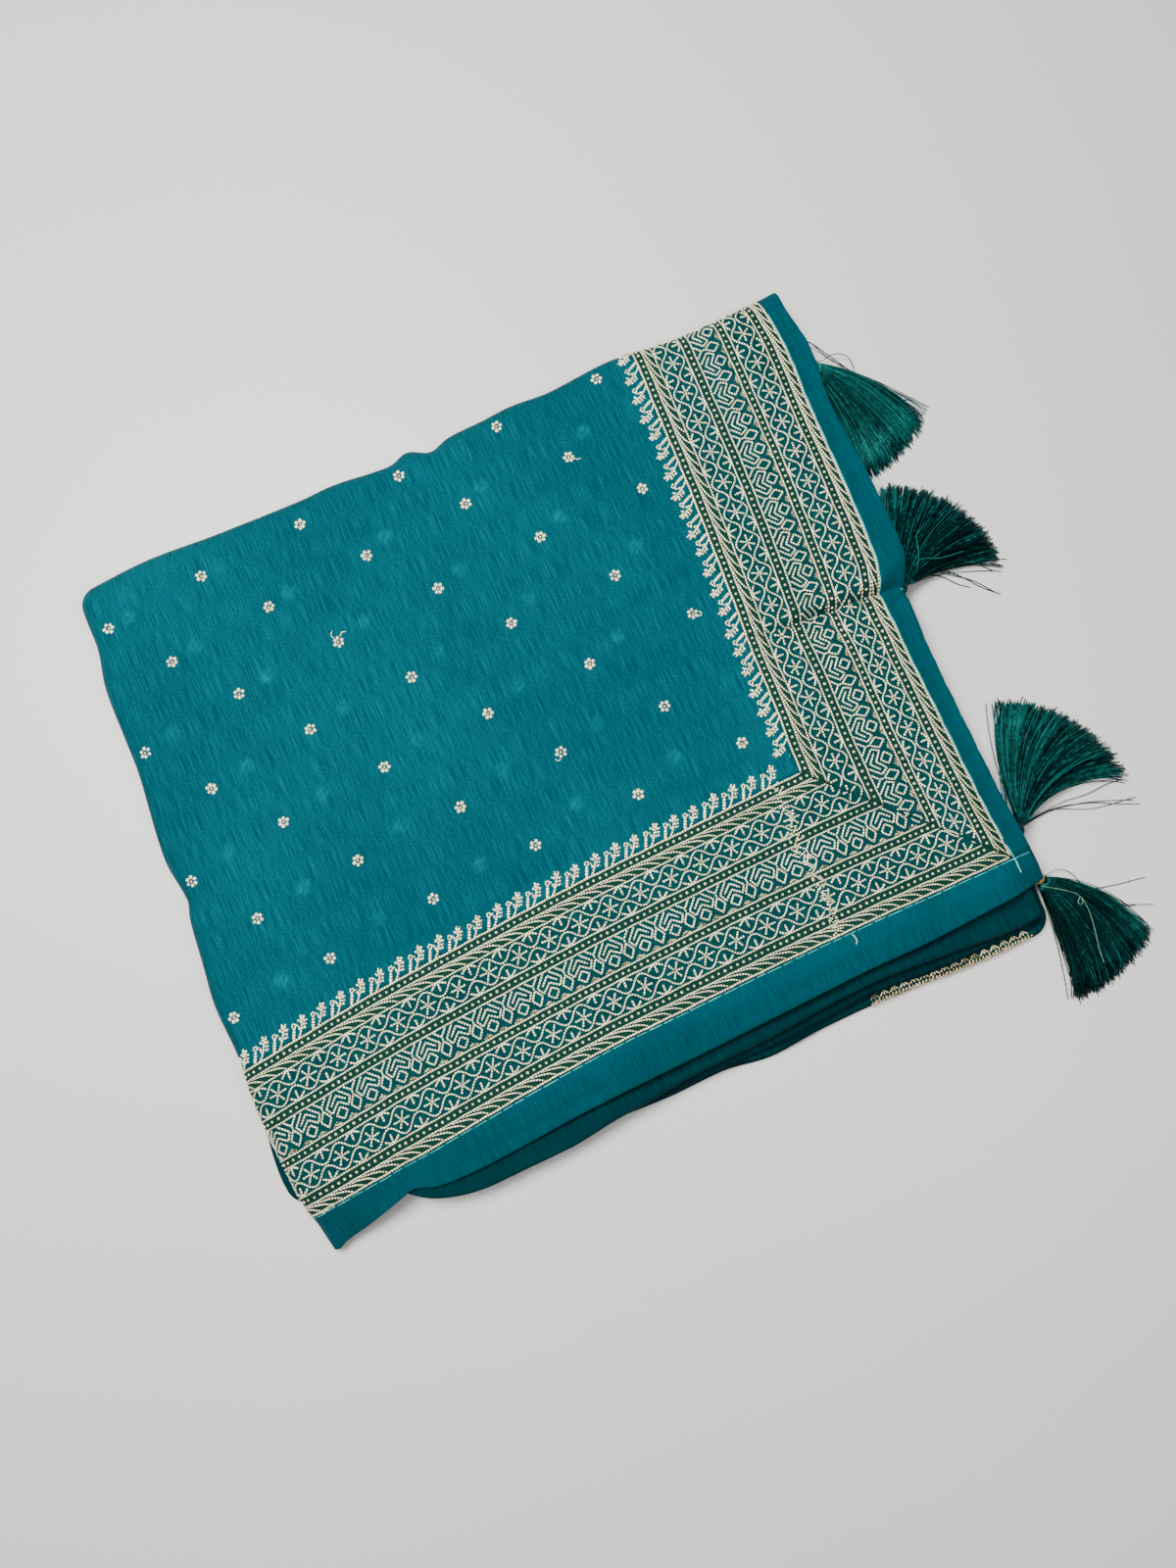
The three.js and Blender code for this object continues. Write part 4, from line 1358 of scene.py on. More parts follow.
@dataclass
class StitchBatch:
    """Lays stitched lines on the top cloth and joins them into one mesh."""

    step: float = 0.64
    series: float = 1.0
    profile: tuple[float, ...] = (0, 58, 122, 180)
    flat: list[Array] = field(default_factory=list)
    widths: list[Array] = field(default_factory=list)
    highs: list[Array] = field(default_factory=list)
    tones: list[Array] = field(default_factory=list)
    lengths: list[Array] = field(default_factory=list)
    sizes: list[int] = field(default_factory=list)

    def add(self, stroke: Stroke, keeps: Callable[[Array], Array] | None = None) -> None:
        """Adds a line given by flat places, in the runs that keeps allows.

        Args:
            stroke: the line.
            keeps: tells which flat places may be stitched.
        """
        points = np.asarray(stroke.points, float)
        span = lengths_along(points)
        if span[-1] < 0.15:
            return
        count = max(3, int(math.ceil(span[-1] / self.step)) + 1)
        at = np.linspace(0, span[-1], count)
        flat = np.stack([np.interp(at, span, points[:, k]) for k in (0, 1)], -1)
        width = np.broadcast_to(np.asarray(stroke.width, float), (len(points),))
        width = np.interp(at, span, width)
        kept = keeps(flat) if keeps else np.ones(count, bool)
        start = 0
        for end in list(np.flatnonzero(np.diff(kept.astype(int))) + 1) + [count]:
            if kept[start] and end - start >= 2:
                self._run(flat[start:end], width[start:end], at[start:end], stroke)
            start = end

    def _run(self, flat: Array, width: Array, at: Array, stroke: Stroke) -> None:
        """Adds one whole run of a line, swelling and thinning from stitch to stitch.

        Args:
            flat: the run's flat places.
            width: its width at each.
            at: the length along it at each.
            stroke: the line that it is part of.
        """
        number = len(self.sizes)
        run = at + STITCH_LENGTH * float(vary(number, self.series))
        beat = np.abs(np.sin(math.pi * run / STITCH_LENGTH))
        swell = 0.74 + 0.36 * beat
        swell[0] = swell[-1] = 0.55
        jitter = 0.05 * vary(np.arange(len(at)) + 31 * number, self.series + 1)
        self.flat.append(flat + jitter[:, None])
        self.widths.append(width * swell)
        self.highs.append(stroke.high * swell)
        self.tones.append(stroke.tone + 0.10 * float(vary(number, self.series + 2)) + 0 * at)
        self.lengths.append(run)
        self.sizes.append(len(at))

    def finish(self, name: str) -> bpy.types.Object:
        """Makes the joined mesh, its threads seated a little in the cloth.

        Args:
            name: the piece's name.

        Returns:
            The piece.
        """
        flat, width = np.concatenate(self.flat), np.concatenate(self.widths)
        high, tone, length = (np.concatenate(x) for x in (self.highs, self.tones, self.lengths))
        at, normal = TOP.outer(flat[:, 0], flat[:, 1], -0.06)
        first = np.concatenate([[0], np.cumsum(self.sizes)[:-1]])
        last = np.cumsum(self.sizes) - 1
        index = np.arange(len(at))
        before = np.maximum(index - 1, np.repeat(first, self.sizes))
        after = np.minimum(index + 1, np.repeat(last, self.sizes))
        side = unit(np.cross(unit(at[after] - at[before]), normal))
        angle = np.radians(self.profile)
        k = len(angle)
        ring = (
            at[:, None]
            + side[:, None] * (np.cos(angle)[None, :, None] * width[:, None, None] / 2)
            + normal[:, None] * (np.sin(angle)[None, :, None] * high[:, None, None])
        )
        link = np.setdiff1d(index, last)
        a = link[:, None] * k + np.arange(k)[None]
        b = link[:, None] * k + (np.arange(k)[None] + 1) % k
        quads = np.stack([a, a + k, b + k, b], -1).reshape(-1, 4).tolist()
        caps = [[int(f) * k + i for i in range(k)] for f in first]
        caps += [[int(e) * k + i for i in reversed(range(k))] for e in last]
        uv = np.stack([np.repeat(length, k), np.tile(np.arange(k) / k, len(at))], -1)
        return mesh_object(name, ring.reshape(-1, 3), quads + caps, uv, np.repeat(tone, k))


@dataclass
class BorderStitching:
    """The thread pattern of one band: ruled lines, dots, leaves, stars in waves, keys and a row of sprigs."""

    band: Band
    name: str
    repeats: int
    sprig_start: float  # from the first repeat to the first sprig
    sprig_count: int
    sprig_pitch: float = 9.0
    leaf_pitch: float = 5.2
    dot_pitch: float = 2.8
    beyond: float = 4.8  # repeats drawn on past the corner, up to the mitre
    wave_ends: tuple[float, float] = (1.25, 1.0)  # from the row's line to the wave's peak, and between waves
    star_reach: float = 3.7
    half_star: tuple[float, float] = (3.8, 27.0)  # the rays' length, and the side ones' lean in degrees
    bar_rises: tuple[float, ...] = (0.7, 1.3, 1.8, 1.3, 0.7)
    bar_step: float = 0.82
    bar_foot: float = 13.1
    batch: StitchBatch = field(default_factory=StitchBatch)

    def _draw(
        self, centre: float, points: Sequence[tuple[float, float]], t0: float = 0.0, **kind: object
    ) -> None:
        """Stitches a line given by places about a motif: towards the corner, and outwards from t0.

        Args:
            centre: the motif's place in repeats from the corner.
            points: the line's places.
            t0: where the motif lies across the border.
            kind: the stroke's width, height and shade.
        """
        shape = np.asarray(points, float)
        flat = self.band.place(centre - shape[:, 0] / self.band.pitch, t0 + shape[:, 1])
        self.batch.add(Stroke(flat, **kind), self.band.keeps)

    def ruled_lines(self) -> None:
        """The straight lines that part the rows."""
        count = np.linspace(-self.beyond, self.repeats, (self.repeats + 5) * 8)
        for i, t in enumerate(ROWS.lines):
            sway = 0.07 * np.sin(count * 5.1 + i) + 0.05 * np.sin(count * 13.7 + 2 * i)
            width = 0.95 if i in (0, len(ROWS.lines) - 1) else 0.7
            self.batch.add(Stroke(self.band.place(count, t + sway), width, 0.5, 0.52), self.band.keeps)

    def leaf_rows(self) -> None:
        """Slender slanted leaves, each with a short vein beside its root."""
        shift = self.leaf_pitch / self.band.pitch
        for row, (top, bottom) in enumerate(ROWS.leaves):
            deep = bottom - top
            for i in range(int((self.repeats + self.beyond) / shift)):
                centre = -self.beyond + i * shift
                lean = 0.15 * float(vary(i, row + 7))
                belly = (-1.6, 0.26 * deep + lean)
                leaf = [(-4.7, 0.14 * deep), belly, (1.6, 0.5 * deep), (4.4, 0.88 * deep)]
                vein = [(-1.0, 0.08 * deep), (1.0, 0.2 * deep)]
                self._draw(centre, leaf, top, width=np.array([0.45, 0.72, 0.76, 0.45]), high=0.55, tone=0.5)
                self._draw(centre, vein, top, width=0.42, high=0.36, tone=0.36)

    def star_rows(self) -> None:
        """Six-rayed stars in the cells of two facing waves, and half stars on the lines beside them."""
        count = np.linspace(-self.beyond, self.repeats, (self.repeats + 5) * 18)
        for row, (top, bottom) in enumerate(ROWS.stars):
            middle, (peak, gap) = (top + bottom) / 2, self.wave_ends
            swing = (middle - gap / 2 - top - peak) / 2
            cosine = np.cos(2 * math.pi * count)
            cosine = np.sign(cosine) * np.abs(cosine) ** 0.9
            for sign in (-1, 1):
                t = middle + sign * (gap / 2 + swing + swing * cosine)
                self.batch.add(Stroke(self.band.place(count, t), 0.74, 0.46, 0.52), self.band.keeps)
            for i in range(-4, self.repeats):
                self._star(i, middle, row)
                self._half_star(i + 0.5, top + 0.25, 1, i)
                self._half_star(i + 0.5, bottom - 0.25, -1, i + 50)

    def _star(self, centre: float, t: float, row: int) -> None:
        """One six-rayed star with club-ended rays.

        Args:
            centre: its place in repeats from the corner.
            t: its place across the border.
            row: the row's number.
        """
        for ray in range(6):
            angle = math.radians(60 * ray + 4 * float(vary(centre * 6 + ray, row + 11)))
            reach = self.star_reach + 0.25 * float(vary(centre * 6 + ray, row + 13))
            u, v = math.cos(angle), math.sin(angle)
            points = [(0.25 * u, 0.25 * v), (0.6 * reach * u, 0.6 * reach * v), (reach * u, reach * v)]
            self._draw(centre, points, t, width=np.array([0.6, 0.75, 1.15]), high=0.48, tone=0.56)

    def _half_star(self, centre: float, t: float, way: int, series: int) -> None:
        """Three rays that stand on a line: one straight across and one bowed to each side.

        Args:
            centre: its place in repeats from the corner.
            t: the line's place across the border.
            way: 1 where it points outwards, -1 inwards.
            series: its own series of small changes.
        """
        long, lean = self.half_star
        drift = 0.2 * float(vary(series, 17))
        self._draw(centre, [(0, 0), (drift, way * long)], t, width=np.array([0.7, 1.1]), high=0.46, tone=0.56)
        for hand in (-1, 1):
            u, v = math.cos(math.radians(lean)), math.sin(math.radians(lean))
            half, end = way * (0.5 * long * v - 0.15), way * (long * v + 0.25)
            bowed = [(0, 0), (hand * 0.5 * long * u, half), (hand * long * u, end)]
            self._draw(centre, bowed, t, width=np.array([0.7, 0.85, 1.05]), high=0.44, tone=0.54)

    def key_row(self) -> None:
        """Nested chevrons over small diamonds, with a larger diamond under a notch between them."""
        top, _ = ROWS.keys
        outer = [(-1.3, 0.6), (-5.4, 4.9), (-3.7, 7.9), (0, 4.75), (3.7, 7.9), (5.4, 4.9), (1.3, 0.6)]
        inner = [(-3.5, 5.3), (0, 2.1), (3.5, 5.3)]
        small = [(0, 6.9), (2.5, 9.4), (0, 11.9), (-2.5, 9.4), (0, 6.9)]
        large = [(0, 5.1), (2.3, 8.6), (0, 11.7), (-2.3, 8.6), (0, 5.1)]
        notch = [(-2.9, 0.4), (0, 3.3), (2.9, 0.4)]
        for i in range(-4, self.repeats):
            for shape in (outer, inner, small):
                self._draw(i + 0.5, shape, top, width=0.82, high=0.48, tone=0.54)
            for shape in (large, notch, [(0, 3.3), (0, 5.1)]):
                self._draw(i, shape, top, width=0.82, high=0.46, tone=0.52)
            for quarter in (0.25, 0.75):
                for j, rise in enumerate(self.bar_rises):
                    u = (j - 2) * self.bar_step
                    bar = [(u, self.bar_foot), (u, self.bar_foot - rise)]
                    self._draw(i + quarter, bar, top, width=0.8, high=0.4, tone=0.16)

    def sprigs(self) -> None:
        """Budding sprigs that stand inwards on the first line and lean towards the corner."""
        head = [(2.5 + 0.85 * math.cos(a), 5.6 + 0.85 * math.sin(a)) for a in np.linspace(-2, 4.3, 9)]
        parts = (
            ([(0, 0), (0.5, 1.2), (1.4, 3), (2.3, 5)], np.array([0.9, 1.5, 1.5, 1.1])),
            (head, 0.75),
            ([(3.2, 5.5), (4.3, 5.0)], np.array([0.7, 1.2])),
            ([(2.2, 0.2), (3.6, 1.3), (4.9, 2.9), (5.9, 4.7), (6.5, 5.6)], 0.85),
            ([(6.2, 5.4), (4.8, 7.0)], np.array([0.8, 1.4])),
            ([(6.6, 5.7), (6.5, 7.2), (7.0, 8.5)], np.array([0.8, 1.4, 0.9])),
            ([(6.7, 5.6), (8.2, 7.6)], np.array([0.8, 1.45])),
            ([(6.7, 5.4), (8.6, 5.3)], np.array([0.8, 1.4])),
            ([(5.2, 3.1), (7.3, 2.8)], np.array([0.7, 1.4])),
            ([(6.0, 4.4), (7.9, 3.9)], np.array([0.7, 1.1])),
            ([(4.3, 2.4), (4.2, 4.6)], np.array([0.7, 1.3])),
        )
        for number in range(self.sprig_count):
            root = 1 + (self.sprig_start + self.sprig_pitch * number) / self.band.pitch
            grow = 1 + 0.06 * float(vary(number, 23))
            for points, width in parts:
                shape = np.asarray(points) * (grow, -grow)
                self._draw(root, shape, 0.0, width=width, high=0.55, tone=0.57)

    def build(self) -> bpy.types.Object:
        """Stitches the whole band.

        Returns:
            The joined stitching.
        """
        self.ruled_lines()
        self.leaf_rows()
        self.star_rows()
        self.key_row()
        self.sprigs()
        obj = self.batch.finish(self.name)
        dress(obj, BORDER_THREAD, "border_thread")
        return obj

    def dot_places(self) -> Array:
        """Flat places of the dots in the narrow rows.

        Returns:
            The places that the band keeps, one row each.
        """
        shift = self.dot_pitch / self.band.pitch
        count = -self.beyond + shift * np.arange(int((self.repeats + self.beyond) / shift))
        flat = np.concatenate([self.band.place(count + 0.3 * shift * i, t) for i, t in enumerate(ROWS.dots)])
        return flat[self.band.keeps(flat)]


@dataclass(frozen=True)
class SatinBead:
    """A rounded knot of thread, modelled once and copied to every place."""

    segments: int = 8
    rings: int = 5

    def shape(self) -> tuple[Array, list[tuple[int, ...]]]:
        """The corners and faces of a bead of radius 1 whose underside is flattened.

        Returns:
            The corners, one row each, and the faces.
        """
        deselect()
        bpy.ops.mesh.primitive_uv_sphere_add(segments=self.segments, ring_count=self.rings, radius=1)
        obj = bpy.context.object
        bpy.ops.object.mode_set(mode="EDIT")
        bpy.ops.mesh.select_all(action="SELECT")
        bpy.ops.transform.resize(value=(1, 1, 0.8))
        bpy.ops.object.mode_set(mode="OBJECT")
        corners = np.array([v.co for v in obj.data.vertices])
        corners[:, 2] = np.maximum(corners[:, 2], -0.25)
        faces = [tuple(f.vertices) for f in obj.data.polygons]
        bpy.data.objects.remove(obj)
        return corners, faces

    def scatter(self, name: str, flat: Array, sizes: Array, turns: Array, tones: Array) -> bpy.types.Object:
        """Sets a bead on the top cloth at each flat place.

        Args:
            name: the joined piece's name.
            flat: the places, one row each.
            sizes: half length, half width and height of each bead.
            turns: the direction of each bead's length, in radians.
            tones: the shade of each bead.

        Returns:
            The joined piece.
        """
        corners, faces = self.shape()
        at, normal = TOP.outer(flat[:, 0], flat[:, 1])
        ahead, _ = TOP.outer(flat[:, 0] + 0.5 * np.cos(turns), flat[:, 1] + 0.5 * np.sin(turns))
        run = unit(ahead - at)
        side = unit(np.cross(normal, run))
        local = corners[None] * sizes[:, None]
        points = (
            at[:, None]
            + local[..., :1] * run[:, None]
            + local[..., 1:2] * side[:, None]
            + local[..., 2:] * normal[:, None]
        )
        k = len(corners)
        joined = [tuple(i * k + c for c in f) for i in range(len(flat)) for f in faces]
        uv = np.tile(corners[:, :2] * 1.5, (len(flat), 1))
        return mesh_object(name, points.reshape(-1, 3), joined, uv, np.repeat(tones, k))


FLOWERS = (
    (-150, 134), (-106, 139), (-59.5, 142.6), (-13, 145), (33.6, 148), (81, 150), (-131, 110), (-85, 115),
    (-39, 118.5), (8, 122), (56, 123), (-155.5, 79), (-110.5, 86), (-64, 89), (-17, 93), (31, 96),
    (79, 98), (-136, 54), (-89, 60), (-42, 63), (5, 67), (53, 68), (-158, 22), (-114, 29), (-67, 33),
    (-19, 36), (28, 38), (76, 40), (-139, -3), (-92, 2), (-45, 5), (2, 9), (49, 9), (-163, -36),
    (-118, -30), (-70, -25), (-23, -22), (24, -20), (72, -18), (-128, 163), (-82, 166), (-36, 168),
    (10, 170), (56, 172), (-177, 105),
)  # flat places of the small flowers, the last ones on the folds


@dataclass
class FieldFlowers:
    """Small six-petalled flowers scattered over the field, each with a knot at its heart that is painted
    darker as shade.
    """

    petals: int = 6
    ring: float = 1.72
    petal: tuple[float, float, float] = (0.98, 0.8, 0.62)
    heart: tuple[float, float, float] = (0.62, 0.62, 0.5)

    def build(self) -> bpy.types.Object:
        """Places every petal and heart as one joined piece.

        Returns:
            The flowers.
        """
        flat, sizes, turns, tones = [], [], [], []
        for i, (x, y) in enumerate(FLOWERS):
            spin = 0.5 * float(vary(i, 31))
            for k in range(self.petals):
                angle = spin + k * 2 * math.pi / self.petals + 0.08 * float(vary(i * 6 + k, 37))
                out = self.ring * (1 + 0.08 * float(vary(i * 6 + k, 41)))
                flat.append((x + out * math.cos(angle), y + out * math.sin(angle)))
                sizes.append(np.array(self.petal) * (1 + 0.12 * float(vary(i * 6 + k, 43))))
                turns.append(angle)
                tones.append(0.6 + 0.08 * float(vary(i * 6 + k, 47)))
            flat.append((x + 0.15 * float(vary(i, 53)), y + 0.15 * float(vary(i, 59))))
            sizes.append(np.array(self.heart))
            turns.append(0.0)
            # the heart's lower tone is painted shade in the middle of the flower
            tones.append(0.3)
        tables = (np.array(column, float) for column in (flat, sizes, turns, tones))
        obj = SatinBead(7, 5).scatter("field_flowers", *tables)
        dress(obj, BORDER_THREAD, "border_thread")
        return obj


@dataclass
class BorderDots:
    """Round knots in the narrow rows between the ruled lines."""

    half: tuple[float, float, float] = (0.68, 0.6, 0.55)

    def build(self, bands: Sequence[BorderStitching]) -> bpy.types.Object:
        """Places the dots of every band as one joined piece.

        Args:
            bands: the bands' stitching.

        Returns:
            The dots.
        """
        flat = np.concatenate([band.dot_places() for band in bands])
        index = np.arange(len(flat))
        flat = flat + 0.1 * np.stack([vary(index, 61), vary(index, 67)], -1)
        sizes = np.array(self.half)[None] * (1 + 0.12 * vary(index, 71))[:, None]
        turns, tones = 3 * vary(index, 73), 0.72 + 0.08 * vary(index, 79)
        obj = SatinBead(6, 4).scatter("border_dots", flat, sizes, turns, tones)
        dress(obj, BORDER_THREAD, "border_thread")
        return obj


CORNER_STITCHES = (
    (0.85, ((154.2, -100.5), (154.9, -104.5), (155.2, -109), (155.1, -113.6))),
    (0.4, ((152.8, -107.2), (158, -107.4), (163.6, -107.9))),
    (0.4, ((88, -30), (87.6, -31.4))),
)  # the width and the flat places of each basting stitch
LOOSE_ENDS = (
    ((80.2, -107.6), (80.9, -109.2), (81, -110.8), (79.9, -112)),
    ((-157.6, -120.2), (-156.2, -121.6), (-155.4, -120.4), (-156.9, -119.9)),
    ((-158, -121.4), (-160.5, -121.9), (-163, -121.7)),
    ((-62.6, 90.6), (-61.2, 92.4), (-59.4, 91.8)),
    ((-65.3, 90.9), (-65.8, 93.2), (-64.6, 94.4)),
    ((57.6, 121.6), (59, 120.4), (60.6, 120.6)),
    ((77.4, 38.6), (78.8, 37.8), (79.6, 39), (78.6, 40.2)),
    ((-1.4, 7.4), (-0.6, 6.2), (0.8, 6.4)),
)  # the flat places of each gold end


@dataclass
class SeamStitching:
    """The bright stitches beside the border, the join across it and a few stray ends."""

    west: float = -170
    east: float = 150
    dash: float = 5.6
    space: float = 0.7
    outside: float = 0.55  # from the border's outer seam to the bright stitches
    loose: tuple[float, float] = (-64, 72)  # between these places along they stand higher
    pallu_span: tuple[float, float] = (-98, 148)
    join_x: float = 76
    join_span: tuple[float, float] = (-0.4, 65.6)
    join_step: float = 1.15
    join_half: float = 1.3

    def _bright(self) -> StitchBatch:
        """Bright stitches along the outer seam, and across the corner of the hems.

        Returns:
            The batch.
        """
        batch = StitchBatch(series=83)
        x = self.west
        i = 0
        while x < self.east:
            long = self.dash * (1 + 0.3 * float(vary(i, 89)))
            p = np.linspace(x, x + long, 7)
            q = LONG_LINES.at(p, OUTER) - self.outside + 0.12 * float(vary(i, 97))
            high = 0.3 if self.loose[0] < x < self.loose[1] else 0.16
            batch.add(Stroke(np.stack([p, q], -1), 0.5, high, 0.5))
            x += long + self.space
            i += 1
        for width, points in CORNER_STITCHES:
            batch.add(Stroke(np.array(points, float), width, 0.4, 0.62))
        q = np.linspace(*self.pallu_span, 120)
        p = PALLU_LINES.at(q, OUTER) - 0.1 + 0.1 * np.sin(q / 2.3)
        batch.add(Stroke(np.stack([p, q], -1), 0.55, 0.3, 0.8))
        return batch

    def _gold(self) -> StitchBatch:
        """The overlapping stitches where the pattern was joined, and loose gold ends.

        Returns:
            The batch.
        """
        batch = StitchBatch(series=101)
        for i, t in enumerate(np.arange(*self.join_span, self.join_step)):
            y = float(LONG_BAND.across(np.array(self.join_x), np.array(t)))
            x = self.join_x + 1.8 * float(vary(i, 103)) + 0.8 * math.sin(t / 6)
            tilt = 1.2 * float(vary(i, 107))
            ends = np.array([(x - self.join_half, y - tilt), (x + self.join_half, y + tilt)])
            batch.add(Stroke(ends, 0.62, 0.6, 0.46))
        for points in LOOSE_ENDS:
            batch.add(Stroke(np.array(points, float), 0.5, 0.4, 0.62))
        return batch

    def build(self) -> list[bpy.types.Object]:
        """Makes the bright stitches and the gold ones.

        Returns:
            Both pieces.
        """
        bright = self._bright().finish("seam_stitches")
        dress(bright, STITCH_THREAD, "hem_cloth")
        gold = self._gold().finish("pattern_join_stitches")
        dress(gold, BORDER_THREAD, "border_thread")
        return [bright, gold]


# ---- the folded layers under the top ----

SECOND_FRONT = SmoothTable(
    (
        (-165, -112), (-148, -119), (-134, -126), (-122, -135), (-110, -139.6), (-95, -141), (-60, -140.3),
        (-35, -137.6), (0, -134.5), (40, -133.2), (75, -130.5), (110, -132), (140, -134.5), (162, -134),
    )
)
INNER_FRONT = SmoothTable(
    (
        (-165, -114), (-134, -124), (-110, -136), (-60, -138), (-30, -138.6), (10, -138), (45, -138.8),
        (80, -136.5), (120, -138.3), (162, -137.5),
    )
)
LOWEST_FRONT = SmoothTable(
    (
        (-170, -117), (-134, -123), (-110, -134), (-60, -138), (-22, -140.6), (10, -140), (33, -143),
        (60, -141.3), (95, -141.5), (120, -142.9), (150, -142.9), (164, -140),
    )
)
RIGHT_SIDE = SmoothTable(
    ((-140, 161), (-125, 163), (-100, 159.5), (-40, 157.5), (10, 158.5), (60, 163), (140, 163.5))
)
LOWEST_LEFT = SmoothTable(
    (
        (-118, -177), (-104, -177.4), (-85, -175.6), (-60, -171), (-20, -169), (40, -166.5), (100, -162.5),
        (150, -158.5),
    )
)
LOWEST_TOP = 4.7


@dataclass
class SecondFold:
    """The fold that shows under the front flap: out from under it, over an edge and back beneath."""

    edge_height: float = 13.4
    radius: float = 1.5
    rise: float = 2.4
    back: float = -104
    west: float = -146
    east: float = 158.5
    columns: int = 190
    outside: float = 0.6
    ripples: tuple[tuple[float, float, float], ...] = (
        (-112, 7, 0.7), (-96, 5, -0.5), (-78, 6, 0.5), (-58, 5, -0.6), (-41, 6, 0.5), (-20, 6, -0.5),
        (2, 7, 0.5), (24, 5, -0.5), (46, 7, 0.6), (70, 6, -0.5), (92, 5, 0.5), (112, 6, -0.6),
        (134, 6, 0.6), (149, 4, -0.5),
    )  # x, half width and height of each soft wave along the edge
    creases: tuple[Crease, ...] = (
        Crease(141, -125, -24, 16, 1.7, -1.9), Crease(147, -121, -18, 14, 1.8, 1.2),
        Crease(126, -126, -14, 15, 1.6, -1.6), Crease(116, -128, 8, 14, 1.5, 0.9),
        Crease(100, -126, -6, 16, 1.6, -1.2), Crease(84, -127, 5, 14, 1.5, 0.8),
        Crease(60, -128, -4, 18, 1.5, -1.0), Crease(30, -129, 3, 20, 1.6, 0.7),
        Crease(-6, -131, -3, 20, 1.5, -0.9), Crease(-44, -134, 4, 22, 1.6, 0.5),
        Crease(-80, -137, -3, 18, 1.6, -0.8), Crease(-108, -135, 14, 12, 1.6, -0.5),
    )
    turn: float = 160  # degrees that the cloth turns back beneath its edge
    turn_steps: int = 15
    depth_steps: int = 12
    thickness: float = 0.5
    flat: tuple[float, float] = (304.5, 38)

    def build(self) -> bpy.types.Object:
        """Makes the fold as a thin closed shell.

        Returns:
            The fold.
        """
        steps, depth = self.turn_steps, self.depth_steps
        turns = np.radians(np.concatenate([np.linspace(self.turn, 0, steps), np.zeros(depth)]))
        share = np.concatenate([np.zeros(steps), np.arange(1, depth + 1) / depth])
        x = np.linspace(self.west, self.east, self.columns)[None]
        turns, share = turns[:, None], share[:, None]
        wave = sum(high * np.exp(-(((x - at) / wide) ** 2)) for at, wide, high in self.ripples)
        edge = SECOND_FRONT.at(x) + self.radius + 0.4 * wave
        radius = self.radius + self.outside
        y = lerp(edge, self.back, share) - radius * np.sin(turns)
        top = self.edge_height + self.rise * smoothstep(share, 0, 1)
        fade = (1 - smoothstep(share, 0.0, 0.6)) * (np.cos(turns) * 0.5 + 0.5)
        fine = 0.12 * np.sin(x / 4.1 + 2 * share) + 0.1 * np.sin(x / 9.7 + 5 * share)
        x = np.broadcast_to(x, y.shape)
        folded = sum(crease.height(x, y) for crease in self.creases)
        z = top + self.outside - radius * (1 - np.cos(turns)) + (0.55 * wave + fine + folded) * fade
        obj = mesh_object(
            "second_fold_cloth",
            np.stack([x, y, z], -1).reshape(-1, 3),
            grid_faces(*y.shape),
            np.stack([x, y - 3 * turns], -1).reshape(-1, 2),
            np.zeros(y.size),
        )
        solidify(obj, self.thickness)
        dress(obj, SHADED_UNDER_FINISH, "under_cloth", "second_stretch")
        return obj


@dataclass(frozen=True)
class Fold:
    """A soft fold of a stack: its heights, and how far its front, right and rolled sides are set in."""

    low: float
    high: float
    front: float
    right: float
    rolled: float


class Face(Enum):
    """The sides of the packet, anticlockwise."""

    FRONT = 0
    RIGHT = 1
    BACK = 2
    LEFT = 3


